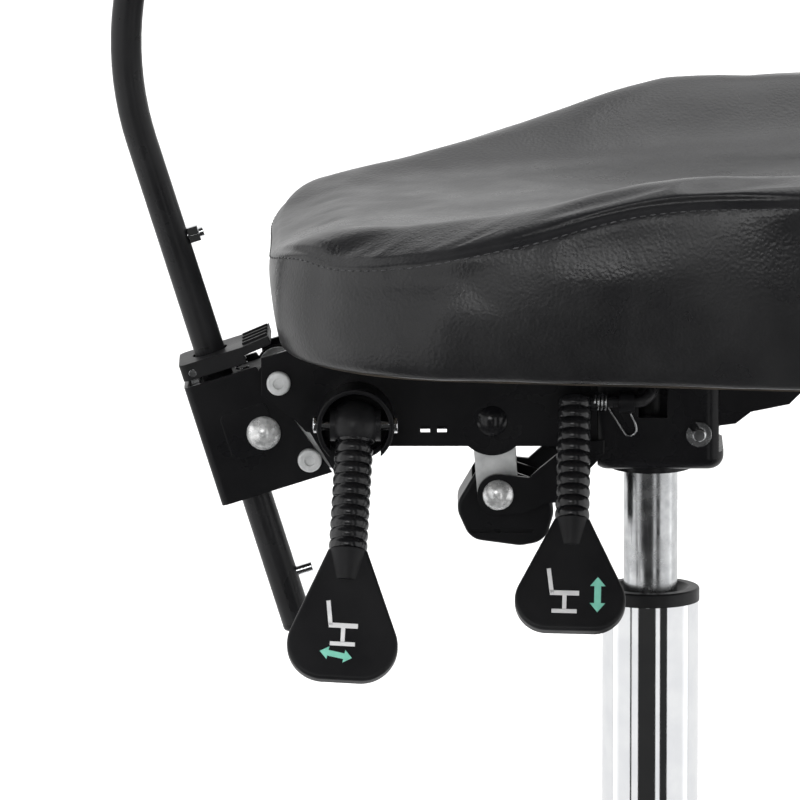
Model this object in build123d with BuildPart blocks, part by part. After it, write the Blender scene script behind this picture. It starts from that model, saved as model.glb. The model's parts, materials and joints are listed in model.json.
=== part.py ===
"""Swivel work stool: dished seat on a gas column, with a back pad on a bent stem that tilts and slides.

Millimetres, +Z up. The origin is the floor point under the column's axis.
The back stands at -X, and the two levers hang on the -Y side.
"""

import math
import os

from build123d import *

os.makedirs("parts", exist_ok=True)

# Fits and gaps
run_fit = 0.05  # radial, for what turns or slides in a hole
seat_fit = 0.02  # between pieces that are pressed, welded or bolted together
body_gap = 0.4  # between faces that move past each other

# Base
leg_count = 5
caster_circle_r = 270.0
hub_d = 74.0
hub_bottom_z = 74.0
hub_h = 54.0
leg_root_w = 40.0
leg_root_h = 36.0
leg_tip_w = 30.0
leg_tip_h = 24.0
leg_tip_z = 64.0
leg_wall = 2.5
leg_overhang = 15.0
stem_boss_wall = 3.0

# Casters
wheel_d = 50.0
wheel_w = 18.0
wheel_gap = 16.0
wheel_rim_depth = 3.0
caster_trail = 18.0
caster_stem_d = 11.0
caster_stem_len = 20.0
caster_axle_d = 6.0
hood_wall = 3.0
hood_clear = 1.5

# Column and gas spring
column_d = 50.0
column_wall = 2.0
column_bottom_z = 68.0
column_top_z = 330.0
collar_h = 7.0
collar_d = 51.0
collar_mouth_d = 40.0
collar_mouth_depth = 4.0
bush_len = 62.0
floor_t = 5.0
cylinder_d = 28.0
cylinder_wall = 1.8
cylinder_len = 224.0
cylinder_taper_d = 26.0
cylinder_taper_len = 42.0
cylinder_cap_t = 14.0
cylinder_top_z = 446.0
rod_d = 10.0
rod_shoulder_d = 14.0
rod_tail_len = 9.0
piston_len = 14.0
piston_z = 322.0
bearing_d = 26.0
bearing_race_t = 2.0
bearing_ball_d = 4.0
bearing_ball_count = 10
clip_t = 1.6
clip_d = 18.0
valve_pin_d = 6.0
valve_pin_len = 26.0
valve_pin_proud = 4.0

# Seat mechanism
seat_plate_z = 465.0
plate_t = 2.5
cheek_y = 23.3
cheek_t = 2.7
flange_x0 = -122.0
flange_x1 = 96.0
flange_w = 160.0
cheek_bottom_z = 408.5
cheek_front_x = 92.0
hinge_x = -192.7
hinge_z = 441.6
hinge_rivet_d = 8.0
rivet_head_d = 12.4
rivet_head_h = 3.2
clamp_x = -153.0
clamp_z = 422.5
clamp_bolt_d = 8.0
plug_x = -82.4
plug_z = 421.6
plug_d = 16.0
plug_shank_d = 10.0
plug_lobe_r = 18.0
pivot_x = 24.4
pivot_z = 415.3
pivot_pin_d = 7.0
pivot_clip_d = 13.0
pivot_clip_t = 1.2
link_x = -79.3
link_z = 383.4
link_bolt_d = 8.0
link_head_d = 16.0
link_head_h = 4.0
link_w = 21.5
link_t = 3.0

# Housing round the top of the gas cylinder
housing_x0 = -30.6
housing_x1 = 37.3
housing_gap = 0.4
housing_t = 2.7
housing_bottom_z = 396.0
housing_top_z = 455.0
housing_round = 9.0
socket_d = 37.0
socket_lip_h = 3.0
socket_len = 52.0
arm_lobe_r = 10.8
cup_half_w = 17.0
cup_wall = 2.5
cup_round = 11.0

# Back bracket, stem and thumb catch
stem_tilt = 17.6
stem_offset = 30.3
stem_d = 16.0
stem_wall = 1.8
bracket_half_w = 22.6
bracket_t = 2.6
bracket_rear = 17.4
bracket_top = 11.1
bracket_bottom = 53.6
tilt_range = 20.0
slide_down = 54.0
slide_up = 44.0
stop_gap = 2.5
guide_bolt_u = -15.5
guide_bolt_a = -23.2
guide_bolt_d = 8.0
guide_head_d = 17.7
guide_head_h = 5.0
boss_pad = 25.0
boss_pad_t = 0.6
quadrant_rivet_u = 2.9
quadrant_rivet_a = -43.9

# Levers
lift_x = -39.8
lift_y = -35.0
lift_z = 433.4
lift_rod_d = 6.0
lift_sleeve_d = 17.8
lift_sleeve_over = 2.0  # how far the sleeve reaches up past the rod's bend
lift_sleeve_len = 66.0
lift_rib_count = 11
lift_lean = 28.0
lift_side = 1.5
lift_paddle_len = 60.2
lock_pivot_y = -41.0
lock_rod_d = 8.0
lock_head_r = 13.4
lock_sleeve_d = 20.0
lock_sleeve_len = 63.5
lock_rib_count = 11
lock_lean = 26.0
lock_side = 3.2
lock_paddle_len = 69.3
sleeve_rib_h = 1.1
paddle_w = 57.0
paddle_t = 9.0
paddle_edge_r = 2.0

# Seat cushion and board
seat_x0 = -198.0
seat_x1 = 200.0
seat_half_w = 195.0
seat_rear_half_w = 168.0
seat_rear_r = 110.0
seat_front_r = 120.0
seat_board_t = 12.0
board_inset = 14.0

# Back pad
pad_w = 350.0
pad_h = 200.0
pad_t = 52.0
pad_board_t = 12.0
pad_plate_t = 3.0
pad_centre_z = 776.0
upper_lean = 10.0
stem_bend_r = 170.0
stem_bend_z = 564.0


def save(piece, name):
    """Name a finished piece and write it to its own file."""
    piece.part.label = name
    export_step(piece.part, f"parts/{name}.step")


# Base hub: turned steel ring that the column is pressed into
hub_r = hub_d / 2
column_r = column_d / 2
hub_top_z = hub_bottom_z + hub_h
hub_chamfer = 3.0
with BuildPart() as base_hub:
    with Locations((0, 0, hub_bottom_z)):
        Cylinder(hub_r, hub_h, align=(Align.CENTER, Align.CENTER, Align.MIN))
    chamfer(base_hub.faces().sort_by(Axis.Z)[-1].outer_wire().edges(), hub_chamfer)
    with Locations((0, 0, hub_top_z)):
        Hole(column_r + seat_fit, depth=hub_h)
save(base_hub, "base_hub")

# One leg: a tapered pressed channel, open below, with a boss for the caster's stem
leg_tip_r = caster_circle_r + leg_overhang
leg_root_plane = Plane(origin=(hub_r * 0.6, 0, hub_bottom_z + hub_h / 2), x_dir=(0, 1, 0), z_dir=(1, 0, 0))
leg_tip_plane = Plane(origin=(leg_tip_r, 0, leg_tip_z + leg_tip_h / 2), x_dir=(0, 1, 0), z_dir=(1, 0, 0))
leg_core_plane = Plane(
    origin=(leg_tip_r - leg_wall, 0, leg_tip_z + leg_tip_h / 2 - leg_wall), x_dir=(0, 1, 0), z_dir=(1, 0, 0)
)
leg_core_root = Plane(
    origin=(hub_r * 0.6, 0, hub_bottom_z + hub_h / 2 - leg_wall), x_dir=(0, 1, 0), z_dir=(1, 0, 0)
)
leg_edge_r = 6.0
stem_hole_r = caster_stem_d / 2 + run_fit
leg_hub_slot = hub_r + seat_fit
with BuildPart() as leg:
    with BuildSketch(leg_root_plane):
        RectangleRounded(leg_root_w, leg_root_h, leg_edge_r)
    with BuildSketch(leg_tip_plane):
        RectangleRounded(leg_tip_w, leg_tip_h, leg_edge_r)
    loft()
    tip_edges = leg.faces().sort_by(Axis.X)[-1].edges()
    fillet(tip_edges, leg_edge_r * 0.8)
    with BuildSketch(leg_core_root):
        Rectangle(leg_root_w - 2 * leg_wall, leg_root_h)
    with BuildSketch(leg_core_plane):
        Rectangle(leg_tip_w - 2 * leg_wall, leg_tip_h)
    loft(mode=Mode.SUBTRACT)
    with Locations((caster_circle_r, 0, leg_tip_z)):
        Cylinder(
            stem_hole_r + stem_boss_wall,
            leg_tip_h - leg_wall / 2,
            align=(Align.CENTER, Align.CENTER, Align.MIN),
        )
    with Locations((caster_circle_r, 0, leg_tip_z)):
        Cylinder(
            stem_hole_r,
            2 * (caster_stem_len + body_gap),
            mode=Mode.SUBTRACT,
        )
    Cylinder(leg_hub_slot, 2 * (hub_top_z + leg_root_h), mode=Mode.SUBTRACT)
with BuildPart() as base_legs:
    with PolarLocations(0, leg_count):
        add(leg.part)
save(base_legs, "base_legs")

# Casters: a hood on a stem that turns in the leg's boss, and two wheels on one axle
wheel_r = wheel_d / 2
axle_r = caster_axle_d / 2
hood_w = wheel_gap - 2 * body_gap
hood_r = wheel_r + hood_clear + hood_wall
hood_neck_r = caster_stem_d / 2 + 4.0
fender_half_w = wheel_gap / 2 + wheel_w
caster_collar_z = leg_tip_z - body_gap
with BuildPart() as caster_fork:
    # The web between the wheels, with the boss that carries the axle
    with BuildSketch(Plane.XZ) as web_face:
        with Locations((-caster_trail, wheel_r)):
            Circle(wheel_r * 0.72)
        with BuildLine():
            Polyline(
                (-caster_trail, wheel_r * 0.4),
                (hood_neck_r, wheel_r * 1.5),
                (hood_neck_r, caster_collar_z),
                (-hood_neck_r, caster_collar_z),
                (-caster_trail - wheel_r * 0.6, wheel_r * 1.3),
                close=True,
            )
        make_face()
    extrude(amount=hood_w / 2, both=True)
    # The fender that arches over both wheels
    with BuildSketch(Plane.XZ) as fender_face:
        with Locations((-caster_trail, wheel_r)):
            Circle(hood_r)
            Circle(hood_r - hood_wall, mode=Mode.SUBTRACT)
        with Locations((-caster_trail, wheel_r * 1.15)):
            Rectangle(4 * hood_r, 4 * hood_r, align=(Align.CENTER, Align.MAX), mode=Mode.SUBTRACT)
        with Locations((0, caster_collar_z)):
            Rectangle(8 * hood_r, hood_r, align=(Align.CENTER, Align.MIN), mode=Mode.SUBTRACT)
    extrude(amount=fender_half_w, both=True)
    with BuildSketch(Plane.XZ) as fender_rib:
        with Locations((-caster_trail, wheel_r)):
            Circle(hood_r - hood_wall / 2)
        with Locations((-caster_trail, wheel_r * 1.15)):
            Rectangle(4 * hood_r, 4 * hood_r, align=(Align.CENTER, Align.MAX), mode=Mode.SUBTRACT)
        with Locations((0, caster_collar_z)):
            Rectangle(8 * hood_r, hood_r, align=(Align.CENTER, Align.MIN), mode=Mode.SUBTRACT)
    extrude(amount=hood_w / 2, both=True)
    with Locations((0, 0, caster_collar_z)):
        Cylinder(hood_neck_r, wheel_r * 0.5, align=(Align.CENTER, Align.CENTER, Align.MAX))
    with Locations((0, 0, caster_collar_z)):
        Cylinder(caster_stem_d / 2, caster_stem_len, align=(Align.CENTER, Align.CENTER, Align.MIN))
    # Room for the wheels and for the axle
    with BuildSketch(Plane.XZ):
        with Locations((-caster_trail, wheel_r)):
            Circle(axle_r + run_fit)
    extrude(amount=fender_half_w, both=True, mode=Mode.SUBTRACT)
    for side in (-1, 1):
        with BuildSketch(Plane.XZ.offset(side * hood_w / 2)):
            with Locations((-caster_trail, wheel_r)):
                Circle(wheel_r + hood_clear)
        extrude(amount=side * (wheel_w + 2 * body_gap), mode=Mode.SUBTRACT)
with BuildPart() as caster_wheels:
    with BuildSketch(Plane.XZ):
        with Locations((-caster_trail, wheel_r)):
            Circle(axle_r)
    extrude(amount=wheel_gap / 2 + wheel_w * 0.7, both=True)
    for side in (-1, 1):
        with BuildSketch(Plane.XZ.offset(side * wheel_gap / 2)):
            with Locations((-caster_trail, wheel_r)):
                Circle(wheel_r)
        extrude(amount=side * wheel_w)
    fillet(caster_wheels.edges().filter_by(GeomType.CIRCLE).group_by(SortBy.RADIUS)[-1], wheel_w * 0.2)
    for side in (-1, 1):
        with BuildSketch(Plane.XZ.offset(side * (wheel_gap / 2 + wheel_w))):
            with Locations((-caster_trail, wheel_r)):
                Circle(wheel_r * 0.7)
                Circle(wheel_r * 0.3, mode=Mode.SUBTRACT)
        extrude(amount=-side * wheel_rim_depth, mode=Mode.SUBTRACT)
for k in range(leg_count):
    with BuildPart() as placed_fork:
        with Locations(Location((0, 0, 0), (0, 0, 360 / leg_count * k))):
            with Locations((caster_circle_r, 0, 0)):
                add(caster_fork.part)
    save(placed_fork, f"caster_{k + 1}_fork")
    with BuildPart() as placed_wheels:
        with Locations(Location((0, 0, 0), (0, 0, 360 / leg_count * k))):
            with Locations((caster_circle_r, 0, 0)):
                add(caster_wheels.part)
    save(placed_wheels, f"caster_{k + 1}_wheels")

# Column: chromed outer tube with its floor disc and the guide bush at its mouth
tube_bore_r = column_r - column_wall
tube_top_z = column_top_z - collar_h
cylinder_r = cylinder_d / 2
rod_r = rod_d / 2
with BuildPart() as column_tube:
    with BuildSketch(Plane.XY.offset(column_bottom_z)):
        Circle(column_r)
        Circle(tube_bore_r, mode=Mode.SUBTRACT)
    extrude(amount=tube_top_z - column_bottom_z)
save(column_tube, "column_tube")

bush_seat_r = tube_bore_r - seat_fit
with BuildPart() as column_bush:
    with BuildSketch(Plane.XZ):
        with BuildLine():
            Polyline(
                (cylinder_r + run_fit, tube_top_z - bush_len),
                (bush_seat_r, tube_top_z - bush_len),
                (bush_seat_r, tube_top_z),
                (collar_d / 2, tube_top_z),
                (collar_d / 2, column_top_z),
                (collar_mouth_d / 2, column_top_z),
                (cylinder_r + run_fit, column_top_z - collar_mouth_depth),
                close=True,
            )
        make_face()
    revolve(axis=Axis.Z)
    top_rings = column_bush.edges().filter_by(GeomType.CIRCLE).group_by(Axis.Z)[-1]
    fillet(top_rings.sort_by(SortBy.RADIUS)[-1], 1.2)
save(column_bush, "column_bush")

floor_z = column_bottom_z + floor_t
with BuildPart() as column_floor:
    with BuildSketch(Plane.XY.offset(column_bottom_z)):
        Circle(bush_seat_r)
        Circle(rod_r + run_fit, mode=Mode.SUBTRACT)
    extrude(amount=floor_t)
save(column_floor, "column_floor")

# Gas spring rod: stands on a thrust bearing and is clipped under the floor disc
bearing_z = floor_z + body_gap
bearing_h = 2 * bearing_race_t + bearing_ball_d + 2 * seat_fit
shoulder_z = bearing_z + bearing_h + seat_fit
rod_tail_z = column_bottom_z - rod_tail_len
clip_z = column_bottom_z - body_gap - clip_t
with BuildPart() as piston_rod:
    with Locations((0, 0, rod_tail_z)):
        Cylinder(rod_r, piston_z - rod_tail_z, align=(Align.CENTER, Align.CENTER, Align.MIN))
    with Locations((0, 0, shoulder_z)):
        Cylinder(rod_shoulder_d / 2, rod_d / 2, align=(Align.CENTER, Align.CENTER, Align.MIN))
    with BuildSketch(Plane.XY.offset(clip_z - seat_fit)):
        Circle(rod_r)
        Circle(rod_r - clip_t, mode=Mode.SUBTRACT)
    extrude(amount=clip_t + 2 * seat_fit, mode=Mode.SUBTRACT)
save(piston_rod, "piston_rod")

with BuildPart() as rod_clip:
    with BuildSketch(Plane.XY.offset(clip_z)):
        Circle(clip_d / 2)
        Circle(rod_r - clip_t + seat_fit, mode=Mode.SUBTRACT)
        Rectangle(clip_d, rod_d * 0.5, align=(Align.MIN, Align.CENTER), mode=Mode.SUBTRACT)
    extrude(amount=clip_t)
save(rod_clip, "rod_clip")

piston_r = cylinder_r - cylinder_wall - run_fit
with BuildPart() as piston:
    with Locations((0, 0, piston_z)):
        Cylinder(piston_r, piston_len, align=(Align.CENTER, Align.CENTER, Align.MIN))
    with BuildSketch(Plane.XY.offset(piston_z + piston_len * 0.4)):
        Circle(piston_r)
        Circle(piston_r - column_wall, mode=Mode.SUBTRACT)
    extrude(amount=piston_len * 0.2, mode=Mode.SUBTRACT)
save(piston, "piston")

ball_circle_r = (bearing_d + rod_d) / 4
with BuildPart() as thrust_bearing:
    for race_z in (bearing_z, bearing_z + bearing_h - bearing_race_t):
        with BuildSketch(Plane.XY.offset(race_z)):
            Circle(bearing_d / 2)
            Circle(rod_r + run_fit, mode=Mode.SUBTRACT)
        extrude(amount=bearing_race_t)
    with Locations((0, 0, bearing_z + bearing_h / 2)):
        with PolarLocations(ball_circle_r, bearing_ball_count):
            Sphere(bearing_ball_d / 2)
save(thrust_bearing, "thrust_bearing")

# Gas cylinder: slides in the bush, its tapered top wedged in the housing's socket
cylinder_bottom_z = cylinder_top_z - cylinder_len
taper_z = cylinder_top_z - cylinder_taper_len
chamber_top_z = cylinder_top_z - cylinder_taper_len * 0.8
valve_r = valve_pin_d / 2
with BuildPart() as gas_cylinder:
    with BuildSketch(Plane.XZ):
        with BuildLine():
            Polyline(
                (rod_r + run_fit, cylinder_bottom_z),
                (cylinder_r, cylinder_bottom_z),
                (cylinder_r, taper_z),
                (cylinder_taper_d / 2, cylinder_top_z),
                (valve_r + run_fit, cylinder_top_z),
                (valve_r + run_fit, chamber_top_z),
                (cylinder_r - cylinder_wall, chamber_top_z),
                (cylinder_r - cylinder_wall, cylinder_bottom_z + cylinder_cap_t),
                (rod_r + run_fit, cylinder_bottom_z + cylinder_cap_t),
                close=True,
            )
        make_face()
    revolve(axis=Axis.Z)
save(gas_cylinder, "gas_cylinder")

pin_top_z = cylinder_top_z + valve_pin_proud
with BuildPart() as valve_pin:
    with Locations((0, 0, pin_top_z)):
        Cylinder(valve_r, valve_pin_len, align=(Align.CENTER, Align.CENTER, Align.MAX))
    fillet(valve_pin.edges().group_by(Axis.Z)[-1], valve_r * 0.4)
save(valve_pin, "valve_pin")


# Seat plate: pressed channel under the seat, with a wide flange above and ears for the back's hinge
cheek_out = cheek_y + cheek_t
plate_under_z = seat_plate_z - plate_t
ear_rear = 9.0
ear_rise = 13.0
clamp_lobe_r = 20.5
window_x0 = -7.0
window_x1 = 8.0
window_z0 = 424.0
slot_w = 5.0
slot_h = 3.6
slot_x = -117.0
slot_pitch = 8.7
slot_z = 417.2
seat_bolt_d = 6.0
seat_bolt_x = (-104.0, 78.0)
seat_bolt_y = 64.0
# Way of the quadrant rivets' heads over the whole tilt, cut out of the ears
rivet_way_r = math.hypot(quadrant_rivet_u, quadrant_rivet_a)
rivet_way_start = stem_tilt + math.degrees(math.atan2(quadrant_rivet_a, quadrant_rivet_u))
with BuildSketch() as rivet_way:
    with BuildLine(mode=Mode.PRIVATE) as rivet_path:
        CenterArc((hinge_x, hinge_z), rivet_way_r, rivet_way_start, tilt_range)
    SlotArc(rivet_path.edges()[0], rivet_head_d + 4 * body_gap)
with BuildPart() as seat_plate:
    with BuildSketch(Plane.XZ):
        with BuildLine():
            Polyline(
                (hinge_x - ear_rear, hinge_z + ear_rise),
                (hinge_x + 2 * ear_rear, plate_under_z),
                (cheek_front_x, plate_under_z),
                (cheek_front_x, plate_under_z - 16),
                (cheek_front_x - 15, plate_under_z - 26),
                (cheek_front_x - 21, plate_under_z - 32),
                (housing_x1 + 14, plate_under_z - 36),
                (housing_x1 + 6, pivot_z + 5),
                (housing_x1 - 2, pivot_z + 4),
                (pivot_x - 4, cheek_bottom_z),
                (clamp_x + 17, cheek_bottom_z),
                (clamp_x, clamp_z - clamp_lobe_r + 2),
                (clamp_x - 16, clamp_z - 8.5),
                (hinge_x + 14, hinge_z - 25.5),
                (hinge_x + ear_rear, hinge_z - 20),
                (hinge_x - 2, hinge_z - 11.5),
                (hinge_x - ear_rear, hinge_z - 6.3),
                close=True,
            )
        make_face()
        with Locations((clamp_x, clamp_z)):
            Circle(clamp_lobe_r)
        with Locations((plug_x, plug_z)):
            Circle(plug_lobe_r)
        with Locations((pivot_x, pivot_z)):
            Circle(pivot_clip_d / 2 + 2)
        with Locations((hinge_x, hinge_z)):
            Circle(hinge_rivet_d / 2 + seat_fit, mode=Mode.SUBTRACT)
        with Locations((clamp_x, clamp_z)):
            Circle(clamp_bolt_d / 2 + seat_fit, mode=Mode.SUBTRACT)
        with Locations((plug_x, plug_z)):
            Circle(plug_shank_d / 2 + seat_fit, mode=Mode.SUBTRACT)
        with Locations((pivot_x, pivot_z)):
            Circle(pivot_pin_d / 2 + seat_fit, mode=Mode.SUBTRACT)
        with Locations((slot_x, slot_z), (slot_x + slot_pitch, slot_z)):
            Rectangle(slot_w, slot_h, mode=Mode.SUBTRACT)
        add(rivet_way.sketch, mode=Mode.SUBTRACT)
    extrude(amount=cheek_out, both=True)
    with BuildSketch(Plane.XY.offset(plate_under_z)):
        Rectangle(8 * seat_half_w, 2 * cheek_y)
    extrude(amount=-(plate_under_z - column_top_z), mode=Mode.SUBTRACT)
    # Window in the near cheek for the lift lever's finger
    with BuildSketch(Plane.XZ.offset(cheek_y - plate_t)):
        with BuildLine():
            Polyline(
                (window_x0, window_z0),
                (window_x1, window_z0),
                (window_x1, plate_under_z - plate_t),
                (window_x0, plate_under_z - plate_t),
                close=True,
            )
        make_face()
    extrude(amount=cheek_t + 2 * plate_t, mode=Mode.SUBTRACT)
    # Wide flange, and the narrow web that ties the ears together
    flange_len = flange_x1 - flange_x0
    with BuildSketch(Plane.XY.offset(plate_under_z)):
        with Locations(((flange_x0 + flange_x1) / 2, 0)):
            RectangleRounded(flange_len, flange_w, 12)
        with Locations((hinge_x + 2 * ear_rear, 0)):
            Rectangle(flange_len / 2, 2 * cheek_out, align=(Align.MIN, Align.CENTER))
        with Locations(*[(x, y) for x in seat_bolt_x for y in (-seat_bolt_y, seat_bolt_y)]):
            Circle(seat_bolt_d / 2 + seat_fit, mode=Mode.SUBTRACT)
    extrude(amount=plate_t)
save(seat_plate, "seat_plate")

# Column housing: pressed pan round the gas cylinder, outside the cheeks, with an arm that reaches back
housing_in = cheek_out + housing_gap
housing_out = housing_in + housing_t
housing_len = housing_x1 - housing_x0
housing_mid_x = (housing_x0 + housing_x1) / 2
wall_top_z = cheek_bottom_z - body_gap
socket_r = socket_d / 2
arm_root_x = housing_x0 + 6
with BuildPart() as column_housing:
    with BuildSketch(Plane.XY.offset(housing_bottom_z)):
        with Locations((housing_mid_x, 0)):
            RectangleRounded(housing_len, 2 * housing_out, housing_round)
    extrude(amount=housing_top_z - housing_bottom_z)
    fillet(column_housing.faces().sort_by(Axis.Z)[0].edges(), housing_round * 0.8)
    offset(amount=-housing_t, openings=column_housing.faces().sort_by(Axis.Z)[-1])
    # The end walls are low, so that the cheeks pass over them
    with BuildSketch(Plane.XY.offset(wall_top_z)):
        with Locations((housing_mid_x, 0)):
            Rectangle(2 * housing_len, 2 * housing_in)
    extrude(amount=housing_top_z, mode=Mode.SUBTRACT)
    with BuildSketch(Plane.XZ):
        with BuildLine():
            Polyline(
                (arm_root_x, pivot_z - 3),
                (housing_x0 - 4, pivot_z - 4),
                (link_x + 30, link_z + 21),
                (link_x + 21.5, link_z + 14),
                (link_x + 16, link_z + 9),
                (link_x, link_z + arm_lobe_r),
                (link_x, link_z - arm_lobe_r),
                (link_x + 13, link_z - 9.8),
                (link_x + 25.4, link_z - 4.2),
                (link_x + 31, link_z - 4),
                (arm_root_x, housing_bottom_z + housing_round),
                close=True,
            )
        make_face()
        with Locations((link_x, link_z)):
            Circle(arm_lobe_r)
    extrude(amount=housing_out, both=True)
    with BuildSketch(Plane.XZ):
        with BuildLine():
            Polyline(
                (arm_root_x + housing_t, wall_top_z),
                (housing_x0 - 4 * arm_lobe_r, wall_top_z),
                (link_x - 4 * arm_lobe_r, wall_top_z),
                (link_x - 4 * arm_lobe_r, link_z - 4 * arm_lobe_r),
                (housing_x0 + housing_t, link_z - 4 * arm_lobe_r),
                (housing_x0 + housing_t, wall_top_z - housing_t),
                close=True,
            )
        make_face()
    extrude(amount=housing_in, both=True, mode=Mode.SUBTRACT)
    with BuildSketch(Plane.XY.offset(wall_top_z - housing_t)):
        with Locations((housing_mid_x, 0)):
            Rectangle(4 * housing_len, 2 * housing_in)
    extrude(amount=housing_top_z, mode=Mode.SUBTRACT)
    # Holes for the socket, the pins and the lift lever's finger
    with Locations((0, 0, housing_bottom_z)):
        Cylinder(socket_r + seat_fit, 4 * housing_t, mode=Mode.SUBTRACT)
    with BuildSketch(Plane.XZ):
        with Locations((pivot_x, pivot_z)):
            Circle(pivot_pin_d / 2 + seat_fit)
        with Locations((link_x, link_z)):
            Circle(link_bolt_d / 2 + seat_fit)
    extrude(amount=2 * housing_out, both=True, mode=Mode.SUBTRACT)
    with BuildSketch(Plane.XZ.offset(cheek_out)):
        with BuildLine():
            Polyline(
                (window_x0, window_z0),
                (window_x1, window_z0),
                (window_x1, housing_top_z + housing_t),
                (window_x0, housing_top_z + housing_t),
                close=True,
            )
        make_face()
    extrude(amount=2 * housing_t, mode=Mode.SUBTRACT)
save(column_housing, "column_housing")

# Taper socket: turned ring welded in the pan, its cone wedged on the cylinder
socket_bottom_z = housing_bottom_z - socket_lip_h
socket_top_z = socket_bottom_z + socket_len


def cylinder_radius(z):
    """Outer radius of the gas cylinder at height z."""
    share = max(0.0, (z - taper_z) / cylinder_taper_len)
    return cylinder_r + share * (cylinder_taper_d / 2 - cylinder_r)


with BuildPart() as taper_socket:
    with BuildSketch(Plane.XZ):
        with BuildLine():
            Polyline(
                (cylinder_r + seat_fit, socket_bottom_z),
                (socket_r + 2.5, socket_bottom_z),
                (socket_r + 2.5, housing_bottom_z - seat_fit),
                (socket_r, housing_bottom_z - seat_fit),
                (socket_r, socket_top_z),
                (cylinder_radius(socket_top_z) + seat_fit, socket_top_z),
                (cylinder_r + seat_fit, taper_z),
                close=True,
            )
        make_face()
    revolve(axis=Axis.Z)
save(taper_socket, "taper_socket")

# Front pivot pin with a spring clip in a groove at each end
pin_half = housing_out + 3.5
groove_y = housing_out + seat_fit
with BuildPart() as front_pivot_pin:
    with BuildSketch(Plane.XZ):
        with Locations((pivot_x, pivot_z)):
            Circle(pivot_pin_d / 2)
    extrude(amount=pin_half, both=True)
    chamfer(front_pivot_pin.faces().filter_by(Axis.Y).edges(), 0.6)
    for side in (-1, 1):
        with BuildSketch(Plane.XZ.offset(side * groove_y)):
            with Locations((pivot_x, pivot_z)):
                Circle(pivot_pin_d / 2 + 1)
                Circle(pivot_pin_d / 2 - 1, mode=Mode.SUBTRACT)
        extrude(amount=side * (pivot_clip_t + seat_fit), mode=Mode.SUBTRACT)
    for side in (-1, 1):
        with BuildSketch(Plane.XZ.offset(side * groove_y)):
            with Locations(Location((pivot_x, pivot_z, 0), (0, 0, 125))):
                Circle(pivot_clip_d / 2)
                Circle(pivot_pin_d / 2 - 1 + seat_fit, mode=Mode.SUBTRACT)
                Rectangle(
                    pivot_clip_d, pivot_pin_d * 0.6, align=(Align.MIN, Align.CENTER), mode=Mode.SUBTRACT
                )
        extrude(amount=side * pivot_clip_t)
save(front_pivot_pin, "front_pivot_pin")

# Zinc links between the cheeks and the housing's arm
link_out = cheek_y - body_gap
link_in = link_out - link_t
link_end_r = link_w / 2
with BuildPart() as tilt_links:
    with BuildSketch(Plane.XZ):
        with BuildLine():
            Polyline(
                (link_x - link_end_r, link_z),
                (plug_x - link_end_r, plug_z),
                (plug_x + link_end_r, plug_z),
                (link_x + link_end_r, link_z),
                close=True,
            )
        make_face()
        with Locations((link_x, link_z), (plug_x, plug_z)):
            Circle(link_end_r)
        with Locations((link_x, link_z)):
            Circle(link_bolt_d / 2 + seat_fit, mode=Mode.SUBTRACT)
        with Locations((plug_x, plug_z)):
            Circle(plug_shank_d / 2 + seat_fit, mode=Mode.SUBTRACT)
    extrude(amount=link_out, both=True)
    with BuildSketch(Plane.XZ):
        with Locations(((link_x + plug_x) / 2, (link_z + plug_z) / 2)):
            Rectangle(4 * link_w, 4 * (plug_z - link_z))
    extrude(amount=link_in, both=True, mode=Mode.SUBTRACT)
save(tilt_links, "tilt_links")

# Pressed cup that hangs on the link bolt between the links
cup_left = 22.2
cup_right = 29.0
cup_drop = 29.2
cup_rise = 12.5
groove_w = 2.0
groove_depth = 0.8
with BuildPart() as tilt_cup:
    with BuildSketch(Plane.XZ):
        with BuildLine():
            Polyline(
                (link_x - cup_left * 0.45, link_z + cup_rise),
                (link_x - cup_left, link_z - cup_drop * 0.28),
                (link_x - cup_left * 0.65, link_z - cup_drop * 0.88),
                (link_x + cup_right * 0.4, link_z - cup_drop),
                (link_x + cup_right * 0.85, link_z - cup_drop * 0.92),
                (link_x + cup_right, link_z - cup_drop * 0.4),
                (link_x + cup_right * 0.9, link_z + cup_rise * 0.3),
                (link_x, link_z + cup_rise),
                close=True,
            )
        cup_face = make_face()
        fillet(cup_face.vertices().sort_by(Axis.Y)[:5], cup_round)
    extrude(amount=cup_half_w, both=True)
    fillet(tilt_cup.faces().filter_by(Axis.Y).edges().group_by(Axis.Z)[0], 2)
    with BuildSketch(Plane.XZ):
        with BuildLine():
            Polyline(
                (link_x - cup_left * 0.4, link_z + 2 * cup_rise),
                (link_x - cup_left + 2 * cup_wall, link_z - cup_drop * 0.3),
                (link_x - cup_left * 0.6 + cup_wall, link_z - cup_drop * 0.88 + cup_wall),
                (link_x + cup_right * 0.85 - cup_wall, link_z - cup_drop * 0.92 + cup_wall),
                (link_x + cup_right - 2 * cup_wall, link_z - cup_drop * 0.4),
                (link_x + cup_right - 2 * cup_wall, link_z + 2 * cup_rise),
                close=True,
            )
        make_face()
    extrude(amount=cup_half_w - cup_wall, both=True, mode=Mode.SUBTRACT)
    with BuildSketch(Plane.XZ):
        with Locations((link_x, link_z)):
            Circle(link_bolt_d / 2 + seat_fit)
    extrude(amount=2 * cup_half_w, both=True, mode=Mode.SUBTRACT)
    for side in (-1, 1):
        with BuildSketch(Plane.XZ.offset(side * cup_half_w)):
            with Locations((link_x + groove_w, link_z - cup_drop * 0.72)):
                SlotOverall(cup_left * 1.5, groove_w)
        extrude(amount=-side * groove_depth, mode=Mode.SUBTRACT)
save(tilt_cup, "tilt_cup")


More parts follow.
